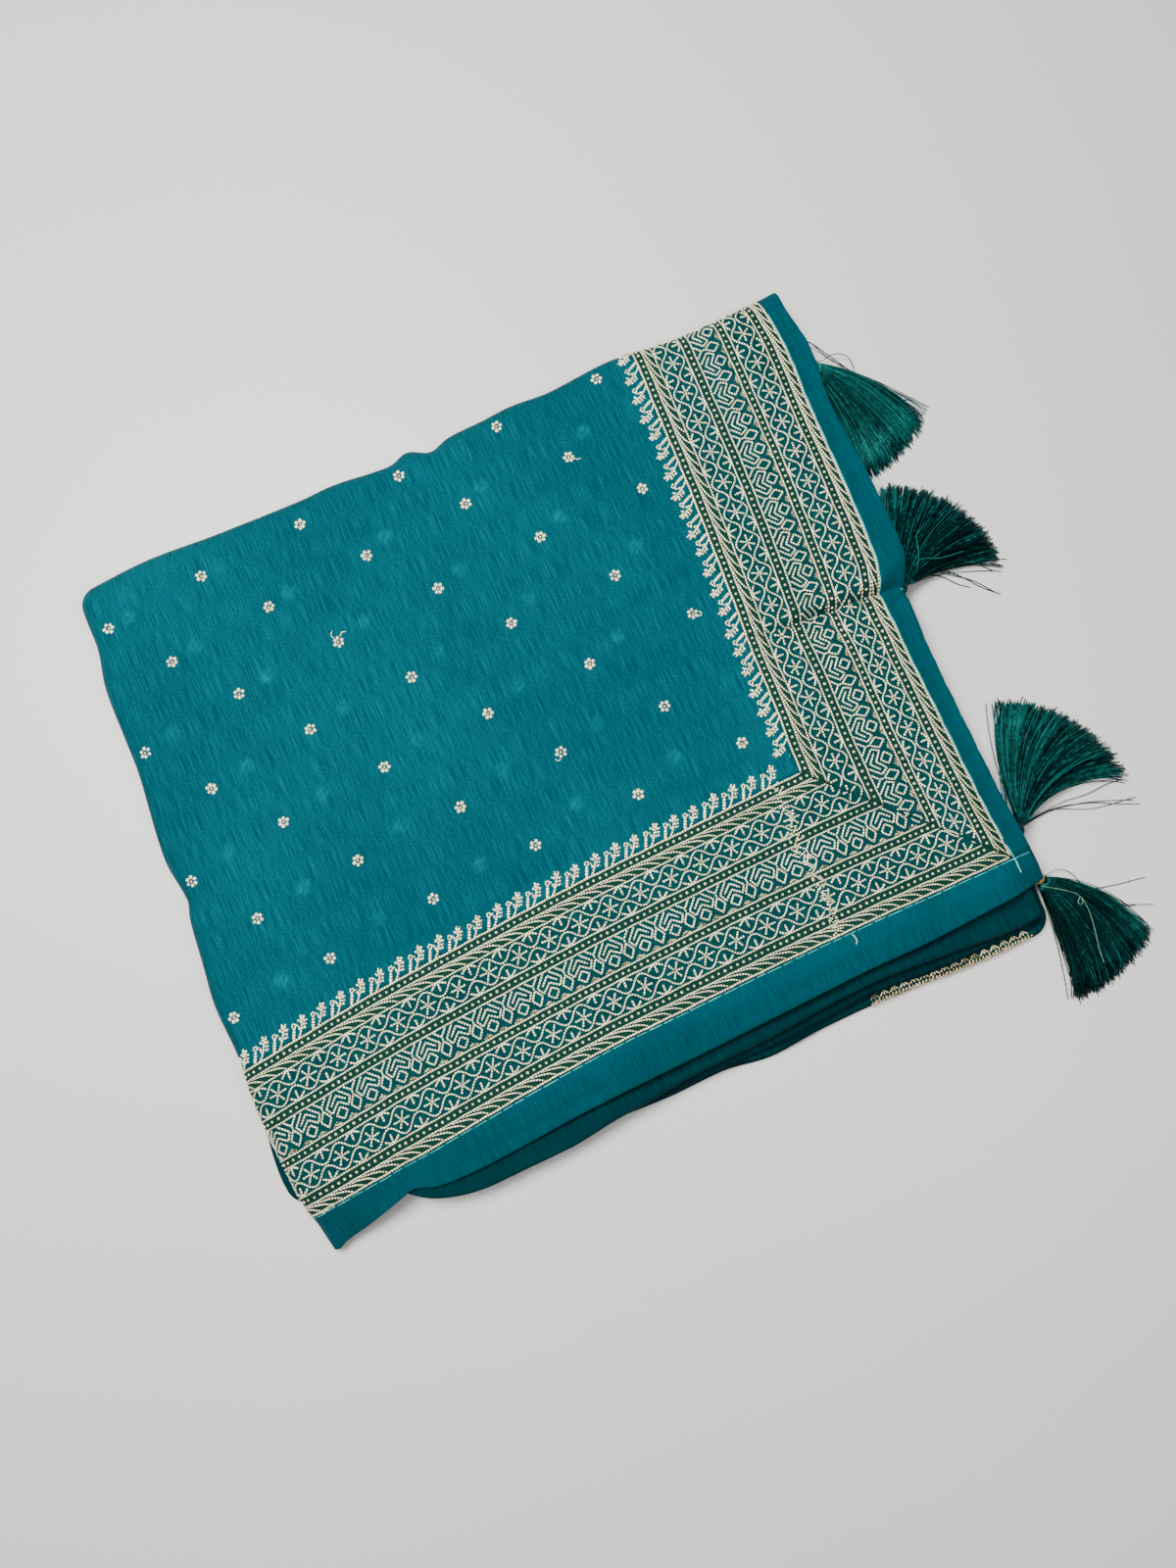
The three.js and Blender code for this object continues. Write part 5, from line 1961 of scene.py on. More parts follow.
@dataclass
class LayerStack:
    """A stack of folded layers as one closed piece, its edges showing each soft layer."""

    name: str
    node: str
    front: Edge
    right: Edge
    back: Edge
    left: Edge
    corner: float
    folds: tuple[Fold, ...]
    depth: float
    top: Callable[[Array, Array], Array]
    flat: tuple[float, float]
    seed: float
    rests_on: tuple[str, ...] = ()
    unevenness: float = 0.42
    layers: int = 3  # thin layers in each fold's height
    steps: int = 96  # along each side
    corner_steps: int = 8
    round_angles: tuple[float, ...] = (-90, -50, 0, 50)  # round each layer's edge
    cover: tuple[float, ...] = (0, 3, 8, 14, 32, 64)  # how far in the upper face's rings lie
    cover_rise: float = 14  # how far in the upper face has its full height

    def _beside(self, face: Face, fold: Fold, x: float, y: float) -> tuple[float, float]:
        """The point of a fold's outline on one side of the packet, level with a place.

        Args:
            face: the side.
            fold: the fold.
            x: the place along the selvedge.
            y: the place across it.

        Returns:
            The point.
        """
        if face is Face.FRONT:
            return x, float(self.front(x)) + fold.front
        if face is Face.RIGHT:
            return float(self.right(y)) - fold.right, y
        if face is Face.BACK:
            return x, float(self.back(x)) - fold.rolled
        return float(self.left(y)) + fold.rolled, y

    def _corners(self, fold: Fold) -> list[tuple[float, float]]:
        """The middles of a fold's rounded corners, anticlockwise from the front left.

        Args:
            fold: the fold.

        Returns:
            The four middles.
        """
        r = self.corner
        west, east = self._beside(Face.LEFT, fold, 0, 0)[0] + r, self._beside(Face.RIGHT, fold, 0, 0)[0] - r
        south, north = self._beside(Face.FRONT, fold, 0, 0)[1] + r, self._beside(Face.BACK, fold, 0, 0)[1] - r
        middles = []
        for side, across in (
            (Face.LEFT, Face.FRONT), (Face.RIGHT, Face.FRONT), (Face.RIGHT, Face.BACK), (Face.LEFT, Face.BACK)
        ):
            x, in_x = (west, r) if side is Face.LEFT else (east, -r)
            y, in_y = (south, r) if across is Face.FRONT else (north, -r)
            cx, cy = self._beside(side, fold, x, y)[0], self._beside(across, fold, x, y)[1]
            middles.append((cx + in_x, cy + in_y))
        return middles

    def _outline(self, fold: Fold) -> Array:
        """The outline's points round a fold, anticlockwise from the front left.

        Args:
            fold: the fold.

        Returns:
            The points, one row each.
        """
        centres = self._corners(fold)
        points = []
        for i, face in enumerate(Face):
            (cx, cy), (nx, ny) = centres[i], centres[(i + 1) % 4]
            for angle in np.radians(180 + 90 * (i + np.linspace(0, 1, self.corner_steps))):
                points.append((cx + self.corner * math.cos(angle), cy + self.corner * math.sin(angle)))
            for t in np.arange(1, self.steps) / self.steps:
                points.append(self._beside(face, fold, lerp(cx, nx, t), lerp(cy, ny, t)))
        return np.array(points)

    def _inwards(self, outline: Array) -> Array:
        """Unit vectors from each point of the outline into the stack."""
        run = unit(np.roll(outline, -1, 0) - np.roll(outline, 1, 0))
        return np.stack([-run[:, 1], run[:, 0]], -1)

    def _set_in(self, k: int) -> float:
        """How far in the k-th layer of a fold lies: most at the fold's top and bottom."""
        return (1 - math.cos(math.pi * ((k + 0.5) / self.layers - 0.5))) * self.depth

    def _uneven(self, along: Array, layer: int) -> Array:
        """How far in one layer's edge strays.

        Args:
            along: lengths along the outline.
            layer: the layer's number in the stack.

        Returns:
            Millimetres inwards at each length.
        """
        long, short = 9 * vary(layer, self.seed + 1), 7 * vary(layer, self.seed + 2)
        return self.unevenness * (
            0.6 * np.sin(along / 13.7 + 5 * vary(layer, self.seed))
            + 0.5 * np.sin(along / 31 + long)
            + 0.35 * np.sin(along / 5.3 + short)
            + 0.5 * vary(layer, self.seed + 3)
        )

    def build(self) -> bpy.types.Object:
        """Makes the closed stack.

        Returns:
            The stack.
        """
        rings, layer = [], 0
        for fold in self.folds:
            outline = self._outline(fold)
            inward = self._inwards(outline)
            along = lengths_along(outline)
            step = (fold.high - fold.low) / self.layers
            for k in range(self.layers):
                low = fold.low + k * step
                by_edge = self._set_in(k) + np.clip(self._uneven(along, layer), -0.5, 0.6)
                for angle in np.radians(self.round_angles):
                    by = by_edge + 0.5 * step * (1 - math.cos(angle))
                    z = low + step / 2 * (1 + math.sin(angle))
                    rings.append(np.column_stack([outline + inward * by[:, None], np.full(len(along), z)]))
                layer += 1
        for step in self.cover:
            at = outline + inward * (self.depth + step)
            high = self.top(at[:, 0], at[:, 1])
            rings.append(np.column_stack([at, lerp(fold.high, high, smoothstep(step, 0, self.cover_rise))]))
        count, whole = len(outline), len(rings) * len(outline)
        faces = [*grid_faces(len(rings), count, closed=True), tuple(reversed(range(count)))]
        faces.append(tuple(range(whole - count, whole)))
        uv = np.concatenate([np.stack([along, ring[:, 2] * 2.2], -1) for ring in rings])
        obj = mesh_object(self.name, np.concatenate(rings), faces, uv, np.zeros(whole))
        dress(obj, SHADED_UNDER_FINISH, "under_cloth", self.node)
        return obj


UNDER_TOP = 3.2  # from the top cloth's middle surface down to the hidden layers


def under_top(x: Array, y: Array) -> Array:
    """The height of the hidden layers' upper face, clear of the top cloth and its creases."""
    return np.minimum(TOP.smooth_height(x, y), TOP.height(x, y)) - UNDER_TOP


def layer_stacks() -> list[LayerStack]:
    """The hidden folds and the lowest stretch.

    Returns:
        The two stacks.
    """
    return [
        LayerStack(
            "inner_layers", "inner_folds", INNER_FRONT.at, RIGHT_SIDE.at, TOP.back_fold, TOP.left_fold,
            corner=8, folds=(
                Fold(5, 7.2, 0, 0.2, 6.6), Fold(7.2, 9.4, 0.8, 1.2, 6.8), Fold(9.4, 11.9, 10, 1.4, 4.4),
                Fold(11.9, 14.4, 38, 4.4, 3.2), Fold(14.4, 16.4, 40, 9, 3.4),
            ),
            depth=1.1, top=under_top, flat=(325, 288), seed=211, rests_on=("lowest_layers",),
        ),
        LayerStack(
            "lowest_layers", "lowest_stretch", LOWEST_FRONT.at, lambda y: RIGHT_SIDE.at(y) + 1.8,
            lambda x: TOP.back_fold(x) - 1, LOWEST_LEFT.at,
            corner=9, folds=(Fold(0, 2.4, 0, 0, 0), Fold(2.4, LOWEST_TOP, 0.8, 0.8, 0.8)),
            depth=1.0, top=lambda x, y: np.full(np.shape(x), LOWEST_TOP), flat=(337, 296), seed=307,
            unevenness=0.3,
        ),
    ]


@dataclass
class LowestBorder:
    """The strip of the lowest stretch's own border, which shows along the front at the right."""

    west: float = 79
    east: float = 155
    pitch: float = 4.6
    dash: float = 1.3
    lines: tuple[float, float] = (0.5, 4.9)  # how far in the broken lines lie
    line_radius: float = 0.29
    bud_radius: float = 0.32
    bar_radius: float = 0.3
    bars: int = 3
    bar_step: float = 1.5
    seat: float = 0.3  # from the outline to where the strip begins
    edge_depth: float = 1.5  # how far in the edge's rounding reaches
    low: float = 2.4
    rise: float = 2.55

    def _place(self, x: Array, inward: Array) -> Array:
        """Points on the lowest stretch's rounded front edge, inward millimetres from its outline.

        Args:
            x: places along the selvedge.
            inward: how far in each lies.

        Returns:
            The points, one row each.
        """
        deep = np.clip(inward / self.edge_depth, 0, 1)
        y = LOWEST_FRONT.at(x) + inward + self.seat
        z = self.low + self.rise * np.sqrt(np.clip(1 - (1 - deep) ** 2, 0, 1))
        return np.stack([x, y, z], -1)

    def build(self) -> bpy.types.Object:
        """Stitches two broken lines, and between them small buds and a row of short bars.

        Returns:
            The joined stitching.
        """
        batch = TubeBatch(sides=5)
        for i in range(int((self.east - self.west) / self.dash)):
            x = self.west + i * self.dash + np.linspace(0, 0.8 * self.dash, 4)
            for j, inward in enumerate(self.lines):
                sway = 0.22 * float(vary(i, 113 + j))
                tone = 0.36 + 0.26 * float(vary(i, 117 + j))
                batch.add(self._place(x, np.full(x.shape, inward + sway)), self.line_radius, tone)
        t = np.linspace(0, 1, 5)
        for i in range(int((self.east - self.west) / self.pitch)):
            left = self.west + i * self.pitch
            tone = 0.5 + 0.34 * float(vary(i, 121))
            for a, b in (((0.3, 2.3), (2.2, 4.3)), ((2.4, 4.3), (4.3, 2.3)), ((2.3, 2.4), (2.3, 3.4))):
                path = self._place(left + lerp(a[0], b[0], t), lerp(a[1], b[1], t))
                batch.add(path, self.bud_radius, tone)
            for k in range(self.bars):
                at = left + 0.7 + self.bar_step * k
                rise = 1.9 + 0.3 * float(vary(3 * i + k, 123))
                bar = self._place(np.linspace(at, at + 0.7, 4), np.linspace(0.8, rise, 4))
                batch.add(bar, self.bar_radius, 0.4 + 0.25 * float(vary(3 * i + k, 127)))
        obj = batch.finish("lowest_border_stitching")
        dress(obj, OLD_GOLD_THREAD, "border_thread")
        return obj


# ---- tassels ----


ROOT_DEPTH = 2.9  # from the top cloth's middle surface down to a tassel's root


@dataclass(frozen=True)
class TasselSize:
    """Where a tassel's root lies, where its head and its fan point, and how far it spreads and reaches."""

    x: float
    y: float
    head: float
    heading: float
    spread: float
    size: float
    z: float | None = None
    bow: float = 0.0  # degrees that the threads bend clockwise by on their way
    bow_side: float = 0.0  # 1 where the anticlockwise threads bend the most, -1 where the clockwise ones do
    shade: float = 0.0

    def root(self) -> Array:
        """The head's root, under the hem where no height is given.

        Returns:
            The point in millimetres.
        """
        z = self.z
        if z is None:
            z = float(TOP.height(np.array(self.x), np.array(self.y), fine=False)) - ROOT_DEPTH
        return np.array((self.x, self.y, z))


TASSELS = (
    TasselSize(170.4, 128, -66, -71, 44, 1.02, None, 26, 1, -0.08),
    TasselSize(163.2, 14, 35, 33, 78, 0.88, 13.6, 20, -0.4, -0.17),
    TasselSize(163.4, -100, 36, 36, 68, 1, None, 30, -1, -0.04),
    TasselSize(162.5, -117.6, -42, -73, 44, 0.99, 9.6, 26, 1, -0.3),
)


@dataclass
class Tassel:
    """A knotted head with a skirt of fine silk threads spread over the table."""

    number: int
    size: TasselSize
    length: float = 62
    pitch_down: float = 30
    threads: int = 640
    stations: int = 10
    thread_radius: float = 0.23
    clump: int = 7  # threads of a row that lean together
    skirt_at: float = 7.2
    skirt_width: float = 3.6
    rows: int = 5
    row_step: float = 0.62
    floor: float = 0.3
    wire_rings: int = 3
    wire_beads: int = 24
    wire_reach: float = 2.35  # from the neck's axis
    wire_start: float = 4.5
    wire_step: float = 0.62
    wire_half: float = 0.38
    profile: tuple[tuple[float, float], ...] = (
        (0, 0.5), (0.6, 1.7), (1.5, 2.3), (2.6, 2.5), (3.6, 2.35), (4.4, 2.0), (5.2, 1.85), (6.0, 1.9),
        (6.8, 2.1), (7.8, 2.5), (8.6, 2.4), (9.0, 1.6),
    )  # along the head from its root, and its radius there
    head_sides: int = 18
    head_tone: float = 0.3
    head_share: float = 9  # of the tassel's length, that its head takes
    row_rise: float = 0.8  # from row to row at the head
    hump: float = 1.6  # how high the middle rows arch

    def _axis(self) -> Array:
        """The head's direction."""
        flat, down = math.radians(self.size.head), math.radians(self.pitch_down)
        return np.array((math.cos(flat) * math.cos(down), math.sin(flat) * math.cos(down), -math.sin(down)))

    def _place(self) -> Matrix:
        """Stands a head that was modelled upright at its root, pointing along its axis."""
        turn = Vector((0, 0, 1)).rotation_difference(Vector(self._axis())).to_matrix().to_4x4()
        return Matrix.Translation(Vector(self.size.root() * MM)) @ turn

    def head(self) -> bpy.types.Object:
        """Models the head by hand: a ring drawn up and sized from the knot over the waist to the skirt.

        Returns:
            The head.
        """
        deselect()
        at, radius = self.profile[0]
        bpy.ops.mesh.primitive_circle_add(
            vertices=self.head_sides, radius=radius * MM, fill_type="NGON", location=(0, 0, at * MM)
        )
        obj = bpy.context.object
        obj.name = f"tassel_head_{self.number}"
        bpy.ops.object.mode_set(mode="EDIT")
        bpy.ops.mesh.select_all(action="SELECT")
        for (low, before), (high, after) in zip(self.profile, self.profile[1:]):
            bpy.ops.mesh.extrude_region_move(TRANSFORM_OT_translate={"value": (0, 0, (high - low) * MM)})
            share = after / before
            bpy.ops.transform.resize(value=(share, share, 1))
        bpy.ops.mesh.select_all(action="SELECT")
        bpy.ops.mesh.normals_make_consistent(inside=False)
        bpy.ops.object.mode_set(mode="OBJECT")
        bpy.ops.object.transform_apply(location=True, rotation=True, scale=True)
        obj.data.transform(self._place())
        corner = np.array([v.co for v in obj.data.vertices]) / MM
        layer = obj.data.uv_layers.new(name="flat")
        for loop in obj.data.loops:
            x, y, z = corner[loop.vertex_index] - self.size.root()
            layer.data[loop.index].uv = (math.hypot(x, y) * MM, z * MM)
        shade = obj.data.attributes.new("tone", "FLOAT", "POINT")
        shade.data.foreach_set("value", np.full(len(corner), self.head_tone, np.float32))
        for polygon in obj.data.polygons:
            polygon.use_smooth = True
        dress(obj, TASSEL_THREAD, "tassel_silk")
        return obj

    def skirt(self) -> bpy.types.Object:
        """Spreads the threads in rows one above the other, each a little bent and cut uneven.

        Returns:
            The joined threads.
        """
        i = np.arange(self.threads)
        row = i % self.rows
        column = i // self.rows
        columns = self.threads / self.rows
        share = (column + row / self.rows) / columns - 0.5
        tag = self.number * 10
        wild = vary(i, tag + 4) ** 7
        middle = math.radians(self.size.heading)
        heading = middle + np.radians(self.size.spread * share + 1.3 * vary(i, tag) + 5 * wild)
        reach = self.length * self.size.size - self.head_share
        reach = reach * (1 - 0.02 * np.abs(row - 2) + 0.045 * vary(i, tag + 1) ** 3 + 0.02 * vary(i, tag + 9))
        start = self.size.root() + self._axis() * self.skirt_at
        side = np.array((-math.sin(middle), math.cos(middle), 0))
        start = start[None] + side[None] * (share * self.skirt_width)[:, None]
        start[:, 2] += (row - (self.rows - 1) / 2) * self.row_rise
        t = np.linspace(0, 1, self.stations)[None]
        bend = np.radians(2.4 * vary(i, tag + 3))[:, None] * np.sin(math.pi * t)
        bend = bend + np.radians(6 * wild)[:, None] * t * t
        clump = np.floor(column / self.clump + 0.5 * vary(row, tag + 8))
        pull = ((clump + 0.5) * self.clump / columns - 0.5 - share) * np.radians(self.size.spread)
        bowed = np.radians(self.size.bow) * (0.3 + 0.7 * (0.5 + self.size.bow_side * share))
        angle = heading[:, None] + bend + (0.4 * pull)[:, None] * t + bowed[:, None] * (1 - t)
        away = reach[:, None] * t
        lift = (row * self.row_step + 0.25 * (1 + vary(i, tag + 5)))[:, None]
        rest = self.floor + lift * (1 - 0.25 * t * t)
        arch = np.exp(-(((t - 0.32) / 0.26) ** 2)) * (1 - (2 * share[:, None]) ** 2)
        rest = rest + self.hump * arch * (row[:, None] / self.rows)
        drop = (1 - t) ** 2.2
        paths = np.stack(
            [
                start[:, :1] + np.cos(angle) * away,
                start[:, 1:2] + np.sin(angle) * away,
                lerp(rest, start[:, 2:3], drop),
            ],
            -1,
        )
        batch = TubeBatch(sides=3)
        thick = self.thread_radius * np.interp(t[0], (0, 0.2, 1), (0.8, 1, 0.95))
        for k in range(self.threads):
            # each thread's tone: its own and its clump's random tone, with painted light: lower rows darker,
            # the anticlockwise side lighter, darker near the head and lighter at the tips
            light = 0.42 + self.size.shade + 0.42 * float(vary(k, tag + 6)) + 0.05 * (row[k] - 2)
            light += 0.12 * float(vary(clump[k], tag + 7)) + 0.24 * share[k]
            batch.add(paths[k], thick, light - 0.1 * (1 - t[0]) + 0.22 * smoothstep(t[0], 0.8, 1))
        obj = batch.finish(f"tassel_threads_{self.number}")
        dress(obj, TASSEL_THREAD, "tassel_silk", f"tassel_{self.number}")
        return obj

    def wire_wrap(self) -> bpy.types.Object:
        """Fine gold beads wound in rings round the neck, modelled once and copied to each place.

        Returns:
            The joined beads.
        """
        corners, faces = SatinBead(8, 6).shape()
        points, joined = [], []
        for ring in range(self.wire_rings):
            for k in range(self.wire_beads):
                angle = 2 * math.pi * (k + 0.5 * (ring % 2)) / self.wire_beads
                turn = Matrix.Rotation(angle, 3, "Z") @ Matrix.Rotation(math.pi / 2, 3, "Y")
                centre = Vector((self.wire_reach * math.cos(angle), self.wire_reach * math.sin(angle), 0))
                centre.z = self.wire_start + self.wire_step * ring
                base = len(points)
                points += [centre + turn @ Vector(c * self.wire_half) for c in corners]
                joined += [tuple(base + c for c in face) for face in faces]
        placed = np.array([self._place() @ (point * MM) for point in points]) / MM
        flat = np.array([(point.x, point.y) for point in points])
        obj = mesh_object("neck_wire", placed, joined, flat, np.full(len(points), 0.6))
        dress(obj, WIRE, "gold_wire", "neck_wrap")
        return obj


@dataclass(frozen=True)
class StrayGroup:
    """Stray threads of one finish, thickness and shade, each by its points."""

    finish: ThreadFinish
    radius: float
    tone: float
    paths: tuple[tuple[tuple[float, float, float], ...], ...]


STRAY_GROUPS = (
    StrayGroup(TASSEL_THREAD, 0.22, 0.1, (
            ((176, 136, 6), (179, 134.7, 4), (184.1, 125.9, 2), (192.8, 113.5, 1.4), (196.1, 103.1, 1),
             (201.2, 98.4, 0.8), (210.8, 93.1, 0.5)),
            ((176, 135, 7), (179.2, 133.9, 4.5), (185.9, 124.4, 2.4), (191.4, 115.4, 1.4),
             (199.6, 101.8, 1), (204.6, 92.1, 0.7), (209.7, 87.4, 0.5)),
            ((176, 126, 6), (179.9, 124.8, 4), (183.7, 125.6, 4.6), (187.7, 124.8, 4.8),
             (191.7, 122, 3.6), (192.2, 116.8, 2.4), (189.8, 112.9, 2), (191.5, 108.2, 1.4)),
    )),
    StrayGroup(TASSEL_THREAD, 0.22, 0.15, (
            ((170, 18, 4), (172.3, 18, 2.6), (180.7, 18.6, 1.4), (188, 16.8, 1), (192.6, 13.3, 0.8),
             (199.5, 7.8, 0.6), (206.9, -1.7, 0.4)),
            ((170, 18, 4.4), (172.3, 18.2, 3), (181.7, 18.6, 1.6), (190.2, 16.3, 1.2), (196.7, 10, 1),
             (201.1, 4.2, 0.7), (208.2, -2.8, 0.4)),
            ((170.6, 18.4, 4.4), (173.4, 18.1, 3), (181.4, 17.9, 1.3), (187.3, 15.2, 0.9),
             (192.9, 8.9, 0.6), (197.1, 5.6, 0.4)),
    )),
    StrayGroup(TASSEL_THREAD, 0.22, 0.1, (
            ((172, 18.6, 5), (174.9, 19.6, 3.4), (189.4, 21.9, 2), (199.8, 16.7, 1.4),
             (210.3, 13.5, 0.8), (217.4, 10.4, 0.4)),
            ((172, 18.4, 5), (174.7, 19.2, 3.4), (189.4, 19.9, 1.8), (201.6, 15.4, 1.2),
             (206.8, 11.2, 0.8), (209.9, 7.9, 0.4)),
    )),
    StrayGroup(TASSEL_THREAD, 0.24, 1.1, (
            ((187.3, 38, 7.6), (182.5, 34.8, 8.2), (179.9, 27.4, 8.6), (176.3, 21.8, 8.8),
             (171.3, 18.3, 9)),
            ((174.7, 22.8, 8.6), (180.3, 24.6, 7.9), (188.5, 21.9, 6.6), (199.8, 20.8, 4.8)),
    )),
    StrayGroup(TASSEL_THREAD, 0.2, 0.1, (
            ((168, -87, 3), (169.3, -83.1, 1.8), (172.6, -74.3, 1), (181.1, -57.9, 0.8),
             (186.6, -52.3, 0.6), (191.2, -47.8, 0.4)),
            ((169, -87, 3), (170.1, -83.4, 1.8), (173.4, -74.6, 1), (182.1, -59.7, 0.8),
             (187.4, -53.6, 0.6), (192, -49.1, 0.4)),
            ((169, -87, 3.4), (170.5, -83.6, 2), (177.5, -74.1, 1.2), (185.6, -61.3, 0.8),
             (189.4, -53.5, 0.6), (191.6, -47.9, 0.4)),
            ((170, -98.6, 3), (172.1, -98.3, 2), (187.2, -97.2, 1), (202.7, -101.3, 0.8),
             (213.4, -106.5, 0.6), (222.6, -110.6, 0.4)),
            ((170, -98.6, 3.4), (172.2, -98.3, 2.4), (184.8, -97.5, 1.4), (198, -99.6, 1),
             (210.1, -103.6, 0.7), (221.2, -108.1, 0.4)),
            ((170, -98, 3.4), (172.8, -97.7, 2.6), (190.1, -96.1, 1.4), (203.6, -97.5, 1),
             (213.3, -97.1, 0.7), (220.4, -98, 0.4)),
            ((169.8, -99, 3), (172, -98.7, 1.8), (180.1, -97.7, 0.8), (187.2, -97.6, 0.6),
             (202.9, -104.1, 0.5), (222.6, -107.3, 0.4)),
            ((168, -121.6, 5), (171.5, -121.1, 4), (177, -121.3, 3), (181.4, -124.7, 2),
             (185.2, -133.2, 1.2), (192.8, -136.6, 0.8), (210.8, -140, 0.4)),
            ((172, -124, 4), (176.9, -127.2, 3), (186.8, -138.5, 1.6), (193.2, -144.5, 0.9),
             (208.7, -151.9, 0.4)),
            ((167.4, -134, 3), (164.9, -142.5, 1.4), (164.3, -151.3, 0.8), (164.3, -162.7, 0.6),
             (161.4, -170.4, 0.4)),
            ((167.6, -134, 3), (165.3, -142.7, 1.6), (166.2, -152.2, 0.9), (165.8, -162.4, 0.6),
             (161.1, -173.9, 0.4)),
            ((167.8, -135, 3), (165.1, -143.9, 1.8), (166.1, -154.4, 1), (167.2, -161.7, 0.6),
             (163.5, -168.2, 0.4)),
            ((176, -126.5, 4), (181.8, -131.7, 2.6), (189, -140.9, 1.4), (195.5, -146.5, 0.8),
             (201.3, -149.1, 0.5)),
    )),
    StrayGroup(PALE_THREAD, 0.16, 0.3, (
            ((164.7, -123.7, 9.4), (172.7, -129, 8.2), (177.7, -133.1, 7.6), (178.9, -136.3, 7.6),
             (177.6, -138, 7.8), (176.4, -136.6, 8), (178.7, -134.9, 7.6), (179.7, -142.1, 6.6),
             (178.7, -150.7, 5.6), (177.3, -158.2, 4.8), (176.8, -164.7, 4.2)),
    )),
)


@dataclass
class StrayThreads:
    """The loose threads about the tassels, as smooth curves through their points."""

    per_span: int = 5

    def _smooth(self, points: Sequence[tuple[float, float, float]]) -> Array:
        """A smooth path through the points.

        Args:
            points: the points.

        Returns:
            The path's points, one row each.
        """
        rows = np.asarray(points, float)
        along = lengths_along(rows)
        where = np.linspace(0, along[-1], self.per_span * (len(rows) - 1) + 1)
        table = SmoothTable(tuple(map(tuple, np.column_stack([along, rows]).tolist())))
        return np.stack([table.at(where, column) for column in (1, 2, 3)], -1)

    def build(self) -> list[bpy.types.Object]:
        """Makes one joined piece for each finish.

        Returns:
            The pieces.
        """
        made = []
        for finish, name in ((TASSEL_THREAD, "stray_silk_threads"), (PALE_THREAD, "stray_pale_threads")):
            batch = TubeBatch(sides=4)
            for group in STRAY_GROUPS:
                if group.finish is finish:
                    for path in group.paths:
                        batch.add(self._smooth(path), group.radius, group.tone)
            obj = batch.finish(name)
            dress(obj, finish, "tassel_silk")
            made.append(obj)
        return made


# ---- the stage ----


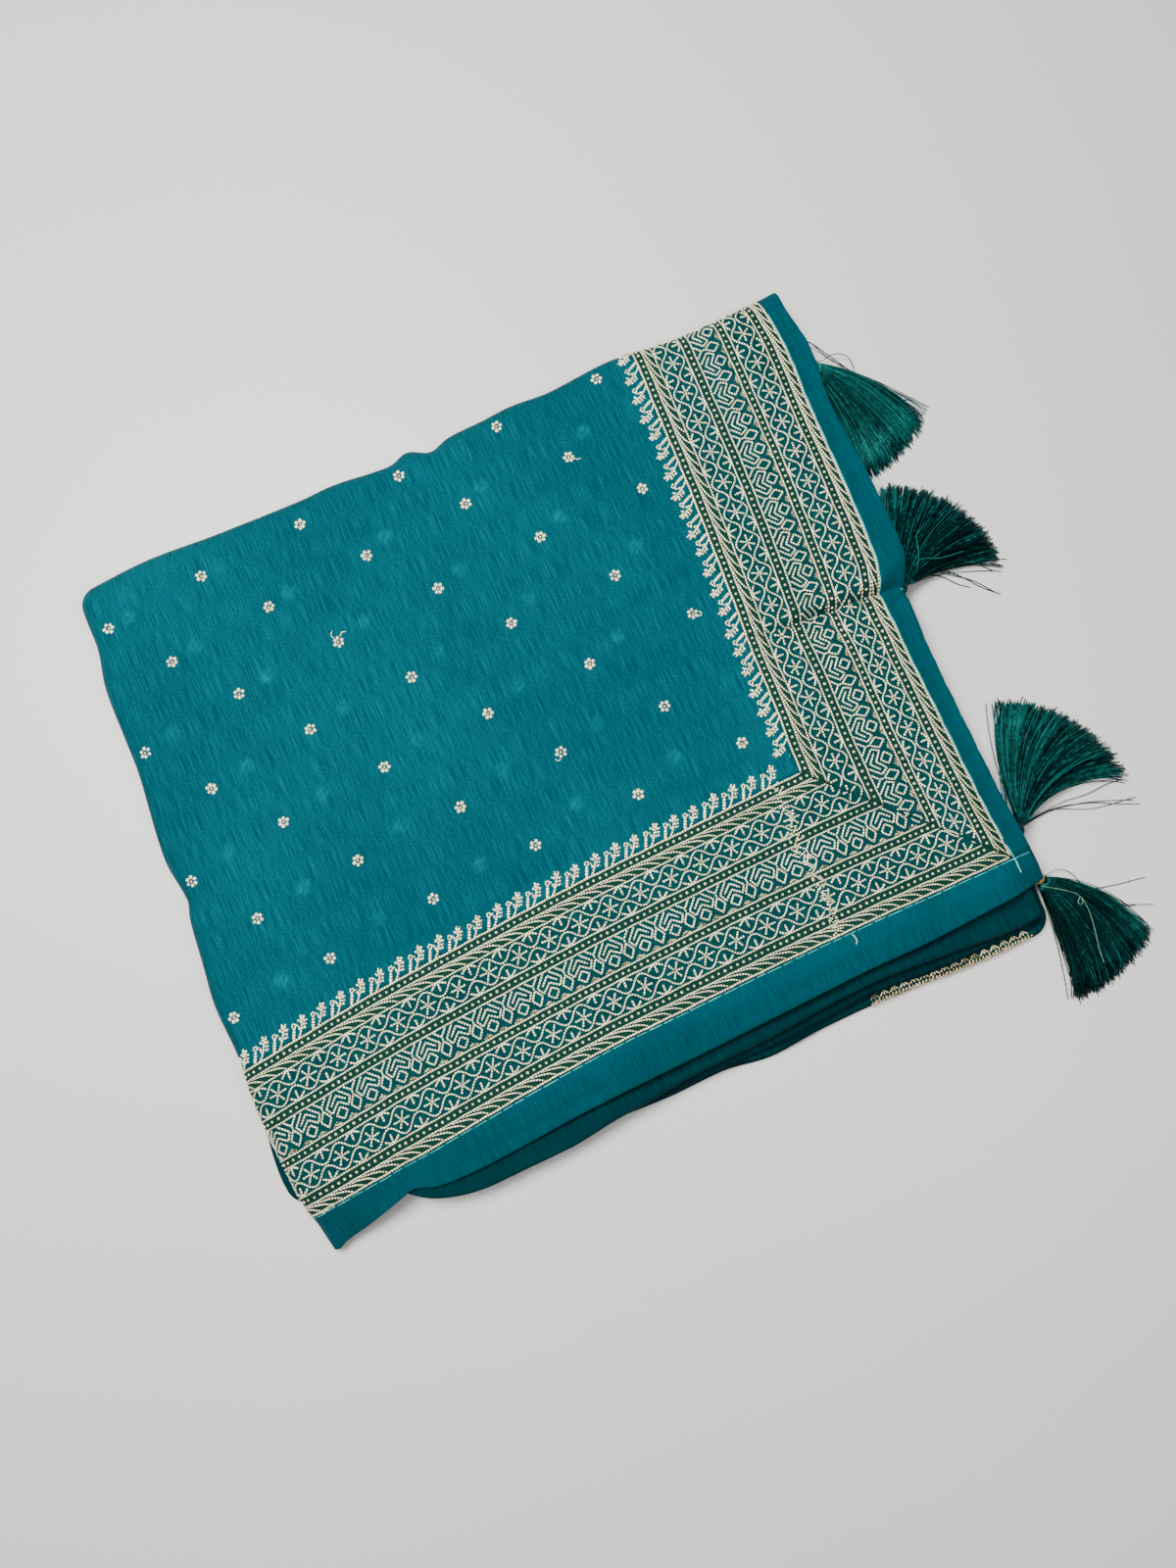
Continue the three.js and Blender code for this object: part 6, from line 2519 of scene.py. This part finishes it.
@dataclass
class Stage:
    """The pale table, the soft light and the camera."""

    eye: tuple[float, float, float] = (-10.711, -46.973, 489.673)
    right: tuple[float, float, float] = (0.91354546, -0.40673664, 0.0)
    up: tuple[float, float, float] = (0.40499772, 0.90963978, 0.09237059)
    back: tuple[float, float, float] = (-0.0375705, -0.08438473, 0.9957247)
    focal: float = 1155.0  # in pixels of an image 1600 high
    table: tuple[int, int, int] = (188, 187, 184)

    def floor(self) -> bpy.types.Object:
        """A wide, faintly glossy table top.

        Returns:
            The table top.
        """
        deselect()
        bpy.ops.mesh.primitive_plane_add(size=6)
        obj = bpy.context.object
        obj.name = "table_top"
        bpy.ops.object.mode_set(mode="EDIT")
        bpy.ops.mesh.select_all(action="SELECT")
        bpy.ops.mesh.subdivide(number_cuts=4)
        bpy.ops.object.mode_set(mode="OBJECT")
        made = bpy.data.materials.new("pale table")
        made.use_nodes = True
        n = Nodes(made.node_tree)
        surface = made.node_tree.nodes["Principled BSDF"]
        where = n.add("ShaderNodeTexCoord")
        mottle = n.noise(where.outputs["Object"], (3, 3, 3), 2)
        tint = n.blend(mottle, colour(*(c - 3 for c in self.table)), colour(*(c + 3 for c in self.table)))
        n.join(tint, surface.inputs["Base Color"])
        surface.inputs["Roughness"].default_value = 0.42
        surface.inputs["Specular IOR Level"].default_value = 0.35
        obj.data.materials.append(made)
        return obj

    def _light(self, name: str, place: tuple[float, float, float], size: float, power: float) -> None:
        """A square soft light that faces the packet.

        Args:
            name: the light's name.
            place: where it stands, in metres.
            size: its side in metres.
            power: its strength in watts.
        """
        lamp = bpy.data.lights.new(name, "AREA")
        lamp.size = size
        lamp.energy = power
        obj = bpy.data.objects.new(name, lamp)
        bpy.context.scene.collection.objects.link(obj)
        obj.location = place
        obj.rotation_euler = (Vector((0, 0, 0)) - Vector(place)).to_track_quat("-Z", "Y").to_euler()

    def lights(self) -> None:
        """A broad light from above and behind, a small one and a pale surround."""
        self._light("window_light", (-0.14, 0.27, 0.8), 0.3, 16.5)
        self._light("ceiling_light", (-0.45, 0.35, 1.5), 0.8, 16)
        self._light("lamp", (0.5, -0.52, 1.4), 0.2, 9)
        world = bpy.data.worlds.new("room")
        world.use_nodes = True
        surround = world.node_tree.nodes["Background"]
        surround.inputs["Color"].default_value = (0.94, 0.97, 1.0, 1)
        surround.inputs["Strength"].default_value = 0.18
        bpy.context.scene.world = world

    def camera(self) -> None:
        """The camera, looking almost straight down."""
        lens = bpy.data.cameras.new("camera")
        lens.sensor_width = 36
        lens.sensor_fit = "AUTO"
        lens.lens = self.focal / 1600 * 36
        lens.clip_start = 0.01
        obj = bpy.data.objects.new("camera", lens)
        bpy.context.scene.collection.objects.link(obj)
        axes = Matrix((self.right, self.up, self.back)).transposed().to_4x4()
        obj.matrix_world = Matrix.Translation(Vector(self.eye) * MM) @ axes
        bpy.context.scene.camera = obj

    def build(self) -> None:
        """Sets out the whole stage."""
        self.floor()
        self.lights()
        self.camera()


def main() -> None:
    """Builds every piece of the dressed sari in order."""
    logging.basicConfig(level=logging.INFO, format="%(message)s")
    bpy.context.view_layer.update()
    Stage().build()
    report([stack.build() for stack in layer_stacks()])
    report([LowestBorder().build(), SecondFold().build()])
    report([panel.build() for panel in top_panels()])
    bands = (
        BorderStitching(LONG_BAND, "selvedge_band_stitching", 21, sprig_start=20.0, sprig_count=29),
        BorderStitching(PALLU_BAND, "pallu_band_stitching", 17, sprig_start=19.3, sprig_count=21),
    )
    report([band.build() for band in bands])
    report([BorderDots().build(bands), FieldFlowers().build()])
    report(SeamStitching().build())
    for number, size in enumerate(TASSELS, 1):
        tassel = Tassel(number, size)
        report([tassel.head(), tassel.skirt()])
    report([tassel.wire_wrap()])  # only the last tassel's neck shows
    report(StrayThreads().build())


if __name__ == "__main__":
    main()
